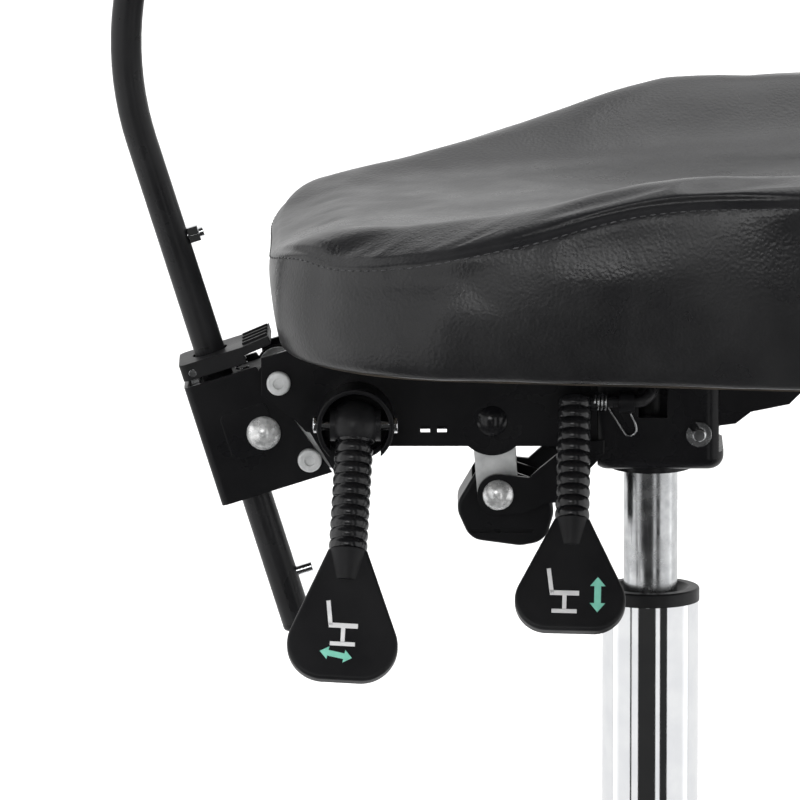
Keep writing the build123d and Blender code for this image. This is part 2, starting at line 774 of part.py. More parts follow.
def dome_bolt(x, z, shank_d, head_d, head_h, grip_half, nut_h):
    """Dome-headed bolt along Y with its nut, gripping the faces at both ends of the grip."""
    head_curve = (head_d**2 / 4 + head_h**2) / (2 * head_h)
    near = Plane(origin=(x, -grip_half - seat_fit, z), x_dir=(1, 0, 0), z_dir=(0, -1, 0))
    with BuildPart() as bolt:
        with BuildSketch(near):
            Circle(head_d / 2)
        extrude(amount=head_h)
        with Locations(near.offset(head_h - head_curve)):
            Sphere(head_curve, mode=Mode.INTERSECT)
        with BuildSketch(near):
            Circle(shank_d / 2)
        extrude(amount=-(2 * grip_half + 2 * seat_fit + nut_h * 1.2))
        with BuildSketch(near.offset(-2 * (grip_half + seat_fit))):
            RegularPolygon(shank_d * 0.85, 6)
        extrude(amount=-nut_h)
    return bolt


link_bolt = dome_bolt(link_x, link_z, link_bolt_d, link_head_d, link_head_h, housing_out, 6)
save(link_bolt, "link_bolt")

# Plastic plugs in the spare lever holes, which also carry the links' upper ends
plug_head_h = 3.5
plug_curve = (plug_d**2 / 4 + plug_head_h**2) / (2 * plug_head_h)
with BuildPart() as plug:
    plug_face = Plane(origin=(plug_x, -cheek_out - seat_fit, plug_z), x_dir=(1, 0, 0), z_dir=(0, -1, 0))
    with BuildSketch(plug_face):
        Circle(plug_d / 2)
    extrude(amount=plug_head_h)
    with Locations(plug_face.offset(plug_head_h - plug_curve)):
        Sphere(plug_curve, mode=Mode.INTERSECT)
    with BuildSketch(plug_face):
        Circle(plug_shank_d / 2)
    extrude(amount=-(cheek_out + seat_fit - link_in))
with BuildPart() as hole_plugs:
    add(plug.part)
    mirror(about=Plane.XZ)
save(hole_plugs, "hole_plugs")


# Back bracket: pressed channel on the hinge rivets, open to the front, with arc slots for the clamp
tilt = math.radians(stem_tilt)
along = Vector(math.cos(tilt), 0, math.sin(tilt))
upward = Vector(-math.sin(tilt), 0, math.cos(tilt))
hinge = Vector(hinge_x, 0, hinge_z)
back = Plane(origin=hinge, x_dir=along, z_dir=(0, -1, 0))
clamp_place = Vector(clamp_x, 0, clamp_z) - hinge
clamp_u = clamp_place.dot(along)
clamp_a = clamp_place.dot(upward)
slot_r = math.hypot(clamp_u, clamp_a)
slot_top = math.degrees(math.atan2(clamp_a, clamp_u))
slot_play = 0.5
slot_land = 6.0
sector_r = slot_r + clamp_bolt_d / 2 + slot_play + slot_land
sector_margin = math.degrees((clamp_bolt_d / 2 + slot_land) / slot_r)
sector_size = tilt_range + 2 * sector_margin
sector_start = slot_top - tilt_range - sector_margin
rear_u = -stem_offset - bracket_rear
bracket_front = 12.0
hinge_lobe_r = 12.0
bracket_in = bracket_half_w - bracket_t
bend_r = 4.0


def polar(radius, degrees):
    """Point of the back's own plane at an angle about the hinge."""
    return (radius * math.cos(math.radians(degrees)), radius * math.sin(math.radians(degrees)))


def sector_face(radius):
    """Pie piece about the hinge that holds the clamp's arc slot."""
    with BuildSketch() as sector:
        with BuildLine():
            Line((0, 0), polar(radius, sector_start))
            CenterArc((0, 0), radius, sector_start, sector_size)
            Line(polar(radius, sector_start + sector_size), (0, 0))
        make_face()
    return sector.sketch


# Arc slot that passes the clamp bolt over the whole tilt
with BuildSketch() as clamp_slot:
    with BuildLine(mode=Mode.PRIVATE) as slot_path:
        CenterArc((0, 0), slot_r, slot_top - tilt_range, tilt_range)
    SlotArc(slot_path.edges()[0], clamp_bolt_d + 2 * slot_play)

with BuildPart() as back_bracket:
    with BuildSketch(back):
        with BuildLine():
            Polyline(
                (rear_u, bracket_top),
                (-ear_rear, bracket_top),
                (bracket_front, -bracket_bottom),
                (rear_u, -bracket_bottom),
                close=True,
            )
        make_face()
        Circle(hinge_lobe_r)
        add(sector_face(sector_r))
    extrude(amount=bracket_half_w, both=True)
    upright = back_bracket.edges().filter_by(lambda edge: abs((edge % 0.5).dot(upward)) > 1 - 1e-6)
    fillet(upright.group_by(Axis.X)[0], bend_r)
    with BuildSketch(back):
        with Locations((rear_u + bracket_t, 0)):
            Rectangle(4 * sector_r, 8 * sector_r, align=(Align.MIN, Align.CENTER))
    extrude(amount=bracket_in, both=True, mode=Mode.SUBTRACT)
    # Raised square pads under the guide bolt
    with BuildSketch(back):
        with Locations((guide_bolt_u - boss_pad * 0.27, guide_bolt_a + 2.7)):
            RectangleRounded(boss_pad, boss_pad, 3)
    extrude(amount=bracket_half_w + boss_pad_t, both=True)
    with BuildSketch(back):
        with Locations((rear_u + bracket_t, 0)):
            Rectangle(4 * sector_r, 8 * sector_r, align=(Align.MIN, Align.CENTER))
    extrude(amount=bracket_in, both=True, mode=Mode.SUBTRACT)
    with BuildSketch(back):
        Circle(4 * sector_r)
        Circle(hinge_rivet_d / 2 + run_fit, mode=Mode.SUBTRACT)
        with Locations((guide_bolt_u, guide_bolt_a)):
            Circle(guide_bolt_d / 2 + seat_fit, mode=Mode.SUBTRACT)
        with Locations((quadrant_rivet_u, quadrant_rivet_a)):
            Circle(hinge_rivet_d / 2 + seat_fit, mode=Mode.SUBTRACT)
        add(clamp_slot.sketch, mode=Mode.SUBTRACT)
    extrude(amount=2 * bracket_half_w, both=True, mode=Mode.INTERSECT)
save(back_bracket, "back_bracket")

# Friction plates inside the bracket's cheeks, which the lock squeezes
quadrant_t = 2.5
quadrant_out = bracket_in - seat_fit
quadrant_in = quadrant_out - quadrant_t
with BuildPart() as lock_quadrants:
    with BuildSketch(back):
        Circle(hinge_lobe_r - 1)
        add(sector_face(sector_r - 1))
        with Locations((quadrant_rivet_u, quadrant_rivet_a)):
            Circle(rivet_head_d / 2)
        with BuildLine():
            Polyline(
                (1 - hinge_lobe_r, 0),
                (quadrant_rivet_u - rivet_head_d / 2, quadrant_rivet_a),
                polar(sector_r - 1, sector_start),
                (0, 0),
                close=True,
            )
        make_face()
        Circle(hinge_rivet_d / 2 + run_fit, mode=Mode.SUBTRACT)
        with Locations((quadrant_rivet_u, quadrant_rivet_a)):
            Circle(hinge_rivet_d / 2 + seat_fit, mode=Mode.SUBTRACT)
        add(clamp_slot.sketch, mode=Mode.SUBTRACT)
    extrude(amount=quadrant_out, both=True)
    with BuildSketch(back):
        Circle(2 * sector_r)
    extrude(amount=quadrant_in, both=True, mode=Mode.SUBTRACT)
save(lock_quadrants, "lock_quadrants")


def rivet_pair(u, a, outer_y, inner_y, gap):
    """Two headed rivets along Y, one on each side, with a flat head inside."""
    with BuildPart() as rivets:
        with BuildSketch(back.offset(outer_y + gap)):
            with Locations((u, a)):
                Circle(rivet_head_d / 2)
        extrude(amount=rivet_head_h)
        fillet(rivets.faces().sort_by(Axis.Y)[0].edges(), rivet_head_h * 0.5)
        with BuildSketch(back.offset(outer_y + gap + rivet_head_h)):
            with Locations((u, a)):
                Circle(rivet_head_d * 0.22)
        extrude(amount=-rivet_head_h * 0.3, mode=Mode.SUBTRACT)
        with BuildSketch(back.offset(inner_y - gap)):
            with Locations((u, a)):
                Circle(hinge_rivet_d / 2)
        extrude(amount=outer_y - inner_y + 2 * gap)
        with BuildSketch(back.offset(inner_y - gap)):
            with Locations((u, a)):
                Circle(rivet_head_d / 2)
        extrude(amount=-rivet_head_h * 0.6)
        mirror(about=Plane.XZ)
    return rivets


save(rivet_pair(0, 0, cheek_out, quadrant_in - body_gap, seat_fit), "hinge_rivets")
save(
    rivet_pair(quadrant_rivet_u, quadrant_rivet_a, bracket_half_w, quadrant_in, seat_fit),
    "quadrant_rivets",
)

# Guide block: bored plastic block in the bracket that the stem slides in
stem_r = stem_d / 2
block_nose_y = quadrant_in - body_gap
block_top = bracket_top - 3.0
block_bottom = bracket_bottom - 1.0
block_step_u = -stem_offset + stem_r + 1.5
block_front_u = guide_bolt_u + guide_bolt_d / 2 + 4.5
stem_foot = hinge - along * stem_offset
stem_plane = Plane(origin=stem_foot, x_dir=along, z_dir=upward)
with BuildPart() as guide_block:
    with BuildSketch(back):
        with BuildLine():
            Polyline(
                (rear_u + bracket_t + seat_fit, block_top),
                (block_step_u, block_top),
                (block_step_u, -block_bottom),
                (rear_u + bracket_t + seat_fit, -block_bottom),
                close=True,
            )
        make_face()
    extrude(amount=bracket_in - seat_fit, both=True)
    with BuildSketch(back):
        with BuildLine():
            Polyline(
                (block_step_u, block_top),
                (block_front_u, block_top),
                (block_front_u, -block_bottom),
                (block_step_u, -block_bottom),
                close=True,
            )
        make_face()
    extrude(amount=block_nose_y, both=True)
    fillet(guide_block.edges().filter_by(Axis.Y).group_by(Axis.X)[-1], 2)
    with BuildSketch(stem_plane):
        Circle(stem_r + run_fit)
    extrude(amount=4 * bracket_bottom, both=True, mode=Mode.SUBTRACT)
    with BuildSketch(back):
        with Locations((guide_bolt_u, guide_bolt_a)):
            Circle(guide_bolt_d / 2 + seat_fit)
    extrude(amount=bracket_half_w, both=True, mode=Mode.SUBTRACT)
save(guide_block, "guide_block")

guide_spot = hinge + along * guide_bolt_u + upward * guide_bolt_a
guide_bolt = dome_bolt(
    guide_spot.X, guide_spot.Z, guide_bolt_d, guide_head_d, guide_head_h, bracket_half_w + boss_pad_t, 5
)
save(guide_bolt, "guide_bolt")

# Thumb catch on top of the bracket: pressing its ribbed tip frees the stem
tab_half_w = 19.5
tab_t = 4.5
tab_rise = 18.0
tab_tip_u = 2.0
tab_rear_u = rear_u + 0.7
tab_pin_d = 4.0
tab_pin_u = rear_u + 6.5
tab_pin_a = bracket_top + 6.0
tab_skirt_gap = 2.8
tab_skirt_u = -13.0
tab_skirt_t = 2.5
tab_tip_rise = 1.5
tab_rib_count = 4
tab_rib_w = 1.6
tab_rib_pitch = 9.0
tab_hole_r = stem_r + 1.4
with BuildPart() as thumb_tab:
    with BuildSketch(back):
        with BuildLine():
            Polyline(
                (tab_rear_u, bracket_top + tab_skirt_gap),
                (tab_skirt_u, bracket_top + tab_skirt_gap),
                (tab_skirt_u, tab_rise),
                (tab_tip_u, tab_rise + tab_tip_rise),
                (tab_tip_u, tab_rise + tab_tip_rise + tab_t),
                (tab_skirt_u, tab_rise + tab_t),
                (tab_rear_u, tab_rise + tab_t),
                close=True,
            )
        make_face()
    extrude(amount=tab_half_w, both=True)
    upright = thumb_tab.edges().filter_by(lambda edge: abs((edge % 0.5).dot(upward)) > 0.95)
    fillet(upright.group_by(Axis.X)[0], 4)
    with BuildSketch(back):
        with BuildLine():
            Polyline(
                (tab_rear_u + tab_skirt_t, 0),
                (tab_skirt_u + tab_skirt_t, 0),
                (tab_skirt_u + tab_skirt_t, tab_rise),
                (tab_rear_u + tab_skirt_t, tab_rise),
                close=True,
            )
        make_face()
    extrude(amount=tab_half_w - tab_skirt_t, both=True, mode=Mode.SUBTRACT)
    # Finger ribs across the tip
    rib_slope = math.degrees(math.atan2(tab_tip_rise, tab_tip_u - tab_skirt_u))
    rib_root = hinge + along * tab_skirt_u + upward * (tab_rise + tab_t)
    rib_plane = Plane(origin=rib_root, x_dir=along, z_dir=upward).rotated((0, -rib_slope, 0))
    with BuildSketch(rib_plane):
        with GridLocations(0, tab_rib_pitch, 1, tab_rib_count):
            with Locations(((tab_tip_u - tab_skirt_u) / 2, 0)):
                SlotOverall(tab_tip_u - tab_skirt_u - 1, tab_rib_w)
    extrude(amount=1.2)
    with BuildSketch(stem_plane):
        Circle(tab_hole_r)
    extrude(amount=4 * tab_rise, mode=Mode.SUBTRACT)
    with BuildSketch(back):
        with Locations((tab_pin_u, tab_pin_a)):
            Circle(tab_pin_d / 2 + run_fit)
    extrude(amount=2 * tab_half_w, both=True, mode=Mode.SUBTRACT)
save(thumb_tab, "thumb_tab")

# Steel plate in the catch that bites on the stem
jam_t = 3.0
jam_hole_r = stem_r + 0.6
jam_top = tab_rise - seat_fit
with BuildPart() as jam_plate:
    with BuildSketch(back):
        with BuildLine():
            Polyline(
                (tab_pin_u + tab_pin_d, jam_top - jam_t),
                (tab_skirt_u, jam_top - jam_t),
                (tab_skirt_u, jam_top),
                (tab_pin_u + tab_pin_d, jam_top),
                close=True,
            )
        make_face()
    extrude(amount=tab_half_w - tab_skirt_t - seat_fit, both=True)
    with BuildSketch(stem_plane):
        Circle(jam_hole_r)
    extrude(amount=4 * tab_rise, mode=Mode.SUBTRACT)
save(jam_plate, "jam_plate")

# Hinge pin of the catch, carried by two posts that stand on the guide block
post_half_w = 5.0
post_y = tab_half_w - tab_skirt_t - body_gap
with BuildPart() as tab_pin:
    with BuildSketch(back):
        with Locations((tab_pin_u, tab_pin_a)):
            Circle(tab_pin_d / 2)
    extrude(amount=tab_half_w, both=True)
    for side in (-1, 1):
        with BuildSketch(back.offset(side * post_y)):
            with Locations((tab_pin_u, (tab_pin_a + block_top + seat_fit) / 2)):
                Rectangle(tab_pin_d, tab_pin_a - block_top - seat_fit)
        extrude(amount=-side * post_half_w)
save(tab_pin, "tab_pin")


# Back stem: bent steel tube, straight through the guide block and leaning forward above
stem_low_a = -126.4
screw_d = 5.0
hex_r = 4.6
upper_stop_a = tab_rise + tab_t + hex_r + stop_gap + slide_down
lower_stop_a = -(block_bottom + screw_d / 2 + stop_gap + slide_up)
lean = math.radians(upper_lean)
stem_start = stem_foot + upward * stem_low_a
bend_start = stem_foot + upward * ((stem_bend_z - stem_foot.Z) / math.cos(tilt))
bend_turn = stem_tilt + upper_lean
bend_centre_x = bend_start.X + stem_bend_r * math.cos(tilt)
bend_end_z = bend_start.Z + stem_bend_r * (math.sin(tilt) + math.sin(lean))
bend_end_x = bend_centre_x - stem_bend_r * math.cos(lean)
pad_up = Vector(math.sin(lean), 0, math.cos(lean))
pad_out = Vector(math.cos(lean), 0, -math.sin(lean))
pad_spot = Vector(bend_end_x, 0, bend_end_z) + pad_up * ((pad_centre_z - bend_end_z) / math.cos(lean))
pad_plane = Plane(origin=pad_spot, x_dir=(0, 1, 0), z_dir=pad_out)
plate_w = 150.0
plate_h = 74.0
stem_top = pad_spot + pad_up * (plate_h / 2)
with BuildPart() as back_stem:
    with BuildLine(Plane.XZ) as stem_path:
        Line((stem_start.X, stem_start.Z), (bend_start.X, bend_start.Z))
        JernArc(
            (bend_start.X, bend_start.Z), (-math.sin(tilt), math.cos(tilt)), stem_bend_r, -bend_turn
        )
        Line((bend_end_x, bend_end_z), (stem_top.X, stem_top.Z))
    with BuildSketch(Plane(origin=stem_start, x_dir=along, z_dir=upward)):
        Circle(stem_r)
        Circle(stem_r - stem_wall, mode=Mode.SUBTRACT)
    sweep(path=stem_path.line)
    for stop_a in (upper_stop_a, lower_stop_a):
        with BuildSketch(Plane(origin=stem_foot + upward * stop_a, x_dir=(0, 1, 0), z_dir=along)):
            Circle(screw_d / 2 + seat_fit)
        extrude(amount=2 * stem_r, mode=Mode.SUBTRACT)
save(back_stem, "back_stem")

plug_cap_h = 4.0
with BuildPart() as stem_plug:
    with BuildSketch(Plane(origin=stem_start - upward * seat_fit, x_dir=along, z_dir=upward)):
        Circle(stem_r - stem_wall - seat_fit)
    extrude(amount=3 * plug_cap_h)
    with BuildSketch(Plane(origin=stem_start - upward * seat_fit, x_dir=along, z_dir=upward)):
        Circle(stem_r)
    extrude(amount=-plug_cap_h)
    fillet(stem_plug.faces().sort_by(Axis(stem_start, upward))[0].edges(), plug_cap_h * 0.6)
save(stem_plug, "stem_plug")

# Stop screws: a hex head above and a round pin below, both pointing forward
stop_proud = 8.0
with BuildPart() as stop_screws:
    for stop_a in (upper_stop_a, lower_stop_a):
        with BuildSketch(Plane(origin=stem_foot + upward * stop_a, x_dir=(0, 1, 0), z_dir=along)):
            Circle(screw_d / 2)
        extrude(amount=stem_r + stop_proud)
    head_spot = stem_foot + upward * upper_stop_a + along * (stem_r + seat_fit)
    with BuildSketch(Plane(origin=head_spot, x_dir=(0, 1, 0), z_dir=along)):
        RegularPolygon(hex_r, 6)
    extrude(amount=stop_proud * 0.7)
save(stop_screws, "stop_screws")

# Back pad: steel plate welded to the stem, plywood board and crowned cushion
pad_face_n = stem_r + seat_fit
board_n = pad_face_n + pad_plate_t
cushion_n = board_n + pad_board_t
pad_bolt_d = 6.0
pad_bolt_x = 58.0
pad_bolt_y = 22.0
pad_corner = 72.0
pad_board_inset = 12.0
with BuildPart() as back_plate:
    with BuildSketch(pad_plane.offset(pad_face_n)):
        RectangleRounded(plate_w, plate_h, 12)
        with GridLocations(2 * pad_bolt_x, 2 * pad_bolt_y, 2, 2):
            Circle(pad_bolt_d / 2 + seat_fit, mode=Mode.SUBTRACT)
    extrude(amount=pad_plate_t)
save(back_plate, "back_plate")

with BuildPart() as back_board:
    with BuildSketch(pad_plane.offset(board_n)):
        RectangleRounded(
            pad_w - 2 * pad_board_inset, pad_h - 2 * pad_board_inset, pad_corner - pad_board_inset
        )
        with GridLocations(2 * pad_bolt_x, 2 * pad_bolt_y, 2, 2):
            Circle(pad_bolt_d / 2 + seat_fit, mode=Mode.SUBTRACT)
    extrude(amount=pad_board_t)
save(back_board, "back_board")

with BuildPart() as back_bolts:
    with BuildSketch(pad_plane.offset(pad_face_n - seat_fit)):
        with GridLocations(2 * pad_bolt_x, 2 * pad_bolt_y, 2, 2):
            RegularPolygon(pad_bolt_d * 0.9, 6)
    extrude(amount=-pad_bolt_d * 0.65)
    with BuildSketch(pad_plane.offset(pad_face_n - seat_fit)):
        with GridLocations(2 * pad_bolt_x, 2 * pad_bolt_y, 2, 2):
            Circle(pad_bolt_d / 2)
    extrude(amount=pad_plate_t + pad_board_t - 1)
save(back_bolts, "back_bolts")

# Cushion sections: how far in from the rim, at each share of the thickness
pad_levels = ((0.0, 7.0), (0.3, 0.0), (0.68, 4.0), (0.9, 20.0), (1.0, 48.0))
with BuildPart() as back_cushion:
    for share, inset in pad_levels:
        with BuildSketch(pad_plane.offset(cushion_n - pad_board_t + share * (pad_t + pad_board_t))):
            RectangleRounded(pad_w - 2 * inset, pad_h - 2 * inset, pad_corner - inset * 0.75)
    loft()
    with BuildSketch(pad_plane.offset(board_n - 1)):
        RectangleRounded(
            pad_w - 2 * pad_board_inset + 2 * body_gap,
            pad_h - 2 * pad_board_inset + 2 * body_gap,
            pad_corner - pad_board_inset + body_gap,
        )
    extrude(amount=pad_board_t + 1 + seat_fit, mode=Mode.SUBTRACT)
save(back_cushion, "back_cushion")


# Clamp bolt through the ears and the arc slots, with its flat head inside the lock's cup
cup_base_t = 3.0
cup_r = 20.0
cup_wall_t = 2.6
cup_depth = 24.0
clamp_head_h = 3.0
clamp_head_r = 10.0
clamp_nut_h = 6.5
clamp_plane = Plane(origin=(clamp_x, 0, clamp_z), x_dir=(1, 0, 0), z_dir=(0, -1, 0))
cup_base_y = cheek_out + seat_fit
clamp_head_y = cup_base_y + cup_base_t + seat_fit
with BuildPart() as clamp_bolt:
    with BuildSketch(clamp_plane.offset(clamp_head_y)):
        Circle(clamp_head_r)
    extrude(amount=clamp_head_h)
    with BuildSketch(clamp_plane.offset(clamp_head_y)):
        Circle(clamp_bolt_d / 2)
    extrude(amount=-(clamp_head_y + cheek_out + seat_fit + clamp_nut_h + 1))
    with BuildSketch(clamp_plane.offset(-cheek_out - seat_fit)):
        RegularPolygon(clamp_bolt_d * 0.85, 6)
    extrude(amount=-clamp_nut_h)
save(clamp_bolt, "clamp_bolt")

# Lock cup: round pressed cup on the near ear that carries the cam's pin
cam_pin_d = 6.0
lock_notch = lock_sleeve_d / 2 + 3.0
with BuildPart() as lock_collar:
    with BuildSketch(clamp_plane.offset(cup_base_y)):
        Circle(cup_r)
        Circle(clamp_bolt_d / 2 + seat_fit, mode=Mode.SUBTRACT)
    extrude(amount=cup_base_t)
    with BuildSketch(clamp_plane.offset(cup_base_y)):
        Circle(cup_r)
        Circle(cup_r - cup_wall_t, mode=Mode.SUBTRACT)
    extrude(amount=cup_depth)
    with BuildSketch(clamp_plane.offset(clamp_head_y + clamp_head_h + body_gap)):
        Rectangle(2 * lock_notch, 2 * cup_r, align=(Align.CENTER, Align.MAX))
    extrude(amount=cup_depth, mode=Mode.SUBTRACT)
    with BuildSketch(Plane(origin=(clamp_x, lock_pivot_y, clamp_z), x_dir=(0, 1, 0), z_dir=(1, 0, 0))):
        Circle(cam_pin_d / 2 + seat_fit)
    extrude(amount=2 * cup_r, both=True, mode=Mode.SUBTRACT)
    fillet(lock_collar.faces().sort_by(Axis.Y)[0].outer_wire().edges().filter_by(GeomType.CIRCLE), 0.8)
save(lock_collar, "lock_collar")

# Pin across the cup that the lock lever turns on
cam_plane = Plane(origin=(clamp_x, lock_pivot_y, clamp_z), x_dir=(0, 1, 0), z_dir=(1, 0, 0))
pin_head_h = 2.0
pin_head_r = 4.4
with BuildPart() as cam_pin:
    with BuildSketch(cam_plane):
        Circle(cam_pin_d / 2)
    extrude(amount=cup_r + seat_fit, both=True)
    for side in (-1, 1):
        with BuildSketch(cam_plane.offset(side * (cup_r + seat_fit))):
            Circle(pin_head_r)
        extrude(amount=side * pin_head_h)
    fillet(cam_pin.faces().filter_by(Axis.X).sort_by(Axis.X)[-1].edges(), 0.8)
    fillet(cam_pin.faces().filter_by(Axis.X).sort_by(Axis.X)[0].edges(), 0.8)
save(cam_pin, "cam_pin")


def hanging(lean_deg, side_deg):
    """Direction down a lever that leans out to -Y and a little to -X."""
    lean_turn = math.radians(lean_deg)
    side_turn = math.radians(side_deg)
    return Vector(
        -math.sin(side_turn),
        -math.sin(lean_turn) * math.cos(side_turn),
        -math.cos(lean_turn) * math.cos(side_turn),
    )


def lever_plane(pivot, down, distance):
    """Plane across a hanging lever, its normal pointing down the lever."""
    return Plane(origin=pivot + down * distance, x_dir=(1, 0, 0), z_dir=down)


def ribbed_sleeve(pivot, down, start, length, outer_d, rod_dia, rib_count):
    """Ribbed plastic sleeve over a lever's rod, each rib a short lofted ring."""
    pitch = length / rib_count
    crest = outer_d / 2
    valley = crest - sleeve_rib_h
    steps = ((0.0, valley), (0.25, crest), (0.62, crest), (0.87, valley))
    with BuildPart() as sleeve:
        for rib in range(rib_count):
            for share, radius in steps:
                with BuildSketch(lever_plane(pivot, down, start + (rib + share) * pitch)):
                    Circle(radius)
        with BuildSketch(lever_plane(pivot, down, start + length)):
            Circle(valley)
        loft(ruled=True)
        with BuildSketch(lever_plane(pivot, down, start - 1)):
            Circle(rod_dia / 2 + seat_fit)
        extrude(amount=length + 2, mode=Mode.SUBTRACT)
    return sleeve


def paddle(pivot, down, start, length, neck_d, rod_dia, rod_depth):
    """Flat teardrop paddle with a round neck that is moulded on the rod's end."""
    face = Vector(1, 0, 0).cross(down).normalized()
    top = pivot + down * start
    neck_r = neck_d / 2
    lobe_r = length * 0.275
    with BuildPart() as blade:
        with BuildSketch(Plane(origin=top - face * (paddle_t / 2), x_dir=face.cross(down), z_dir=face)):
            with Locations((0, lobe_r - length)):
                with GridLocations(paddle_w - 2 * lobe_r, 0, 2, 1):
                    Circle(lobe_r)
            Rectangle(neck_d, neck_d * 0.2, align=(Align.CENTER, Align.MAX))
            make_hull()
        extrude(amount=paddle_t)
        fillet(blade.faces().sort_by(Axis(top, face))[-1].edges(), paddle_edge_r)
        fillet(blade.faces().sort_by(Axis(top, face))[0].edges(), paddle_edge_r)
        with BuildSketch(lever_plane(pivot, down, start)):
            Circle(neck_r)
        extrude(amount=neck_d * 0.8, taper=12)
        with BuildSketch(lever_plane(pivot, down, start - 1)):
            Circle(rod_dia / 2 + seat_fit)
        extrude(amount=rod_depth + 1 + seat_fit, mode=Mode.SUBTRACT)
    return blade


# Lock lever: cam with its round head and rod, ribbed sleeve in the head's socket, and paddle
cam_r = -lock_pivot_y - clamp_head_y - clamp_head_h - body_gap
cam_half_w = cup_r * 0.66
socket_floor = cam_pin_d / 2 + 1.2
lever_grip = 14.0
lock_pivot = Vector(clamp_x, lock_pivot_y, clamp_z)
lock_down = hanging(lock_lean, lock_side)
lock_sleeve_start = socket_floor + seat_fit
lock_paddle_start = lock_sleeve_start + lock_sleeve_len + seat_fit
with BuildPart() as lock_cam:
    with Locations(lock_pivot):
        Sphere(lock_head_r)
    with BuildSketch(Plane(origin=lock_pivot, z_dir=(0, 1, 0))):
        Circle(2 * lock_head_r)
    extrude(amount=2 * lock_head_r, mode=Mode.SUBTRACT)
    with BuildSketch(cam_plane):
        Circle(cam_r)
    extrude(amount=cam_half_w, both=True)
    with BuildSketch(lever_plane(lock_pivot, lock_down, socket_floor)):
        Circle(lock_sleeve_d / 2 + seat_fit)
    extrude(amount=2 * lock_head_r, mode=Mode.SUBTRACT)
    with BuildSketch(lever_plane(lock_pivot, lock_down, 0)):
        Circle(lock_rod_d / 2)
    extrude(amount=lock_paddle_start + lever_grip)
    with BuildSketch(cam_plane):
        Circle(cam_pin_d / 2 + run_fit)
    extrude(amount=cup_r, both=True, mode=Mode.SUBTRACT)
save(lock_cam, "lock_cam")

lock_sleeve = ribbed_sleeve(
    lock_pivot, lock_down, lock_sleeve_start, lock_sleeve_len, lock_sleeve_d, lock_rod_d, lock_rib_count
)
save(lock_sleeve, "lock_sleeve")
lock_paddle = paddle(
    lock_pivot, lock_down, lock_paddle_start, lock_paddle_len, lock_sleeve_d, lock_rod_d, lever_grip
)
save(lock_paddle, "lock_paddle")

# Lift lever: one bent rod, which hangs in its sleeve, turns along X and reaches in over the valve pin
lift_rod_r = lift_rod_d / 2
lift_pivot = Vector(lift_x, lift_y, lift_z)
lift_down = hanging(lift_lean, lift_side)
lift_bend_r = 8.0
lift_sleeve_start = -lift_sleeve_over
lift_paddle_start = lift_sleeve_start + lift_sleeve_len + seat_fit
finger_z = pin_top_z + body_gap + lift_rod_r
finger_end_y = 7.0
with BuildPart() as lift_rod:
    with BuildLine() as lift_path:
        FilletPolyline(
            lift_pivot + lift_down * (lift_paddle_start + lever_grip),
            lift_pivot,
            (0, lift_y, lift_z),
            (0, lift_y * 0.5, finger_z),
            (0, finger_end_y, finger_z),
            radius=lift_bend_r,
        )
    with BuildSketch(lever_plane(lift_pivot, lift_down, lift_paddle_start + lever_grip)):
        Circle(lift_rod_r)
    sweep(path=lift_path.line)
save(lift_rod, "lift_rod")

lift_sleeve = ribbed_sleeve(
    lift_pivot, lift_down, lift_sleeve_start, lift_sleeve_len, lift_sleeve_d, lift_rod_d, lift_rib_count
)
# The sleeve covers the bend, so the rod's room is cut out of its side
with BuildPart() as rod_room:
    with BuildSketch(lever_plane(lift_pivot, lift_down, lift_paddle_start + lever_grip)):
        Circle(lift_rod_r + seat_fit)
    sweep(path=lift_path.line)
with lift_sleeve:
    add(rod_room.part, mode=Mode.SUBTRACT)
save(lift_sleeve, "lift_sleeve")
lift_paddle = paddle(
    lift_pivot, lift_down, lift_paddle_start, lift_paddle_len, lift_sleeve_d, lift_rod_d, lever_grip
)
save(lift_paddle, "lift_paddle")

# Bearing of the lift lever: a tube on a foot that is welded to the housing
lift_bearing_r = lift_rod_r + 2.4
lift_bearing_x = (-17.0, -9.0)
lift_axis_plane = Plane(origin=(lift_bearing_x[0], lift_y, lift_z), x_dir=(0, 1, 0), z_dir=(1, 0, 0))
with BuildPart() as lift_bearing:
    with BuildSketch(lift_axis_plane):
        Circle(lift_bearing_r)
        with Locations((-(lift_y + housing_out + seat_fit), 0)):
            Rectangle(-lift_y - housing_out - seat_fit, 2 * lift_rod_r, align=(Align.MAX, Align.CENTER))
        Circle(lift_rod_r + run_fit, mode=Mode.SUBTRACT)
    extrude(amount=lift_bearing_x[1] - lift_bearing_x[0])
save(lift_bearing, "lift_bearing")


def biarc(start, start_heading, end, end_heading):
    """Two arcs that join two points with given directions."""
    span = end - start
    both = start_heading + end_heading
    spread = 2 * (1 - start_heading.dot(end_heading))
    share = span.dot(both)
    reach = (math.sqrt(share**2 + spread * span.dot(span)) - share) / spread
    middle = (start + end + (start_heading - end_heading) * reach) * 0.5
    first = TangentArc(start, middle, tangent=start_heading)
    second = TangentArc(middle, end, tangent=first % 1)
    return [first, second]


def coil_point(centre, out, side, axis, radius, pitch, turn):
    """Point and direction of a coil after a number of turns."""
    angle = 2 * math.pi * turn
    place = centre + axis * (pitch * turn) + (out * math.cos(angle) + side * math.sin(angle)) * radius
    heading = axis * pitch + (side * math.cos(angle) - out * math.sin(angle)) * (2 * math.pi * radius)
    return place, heading.normalized()


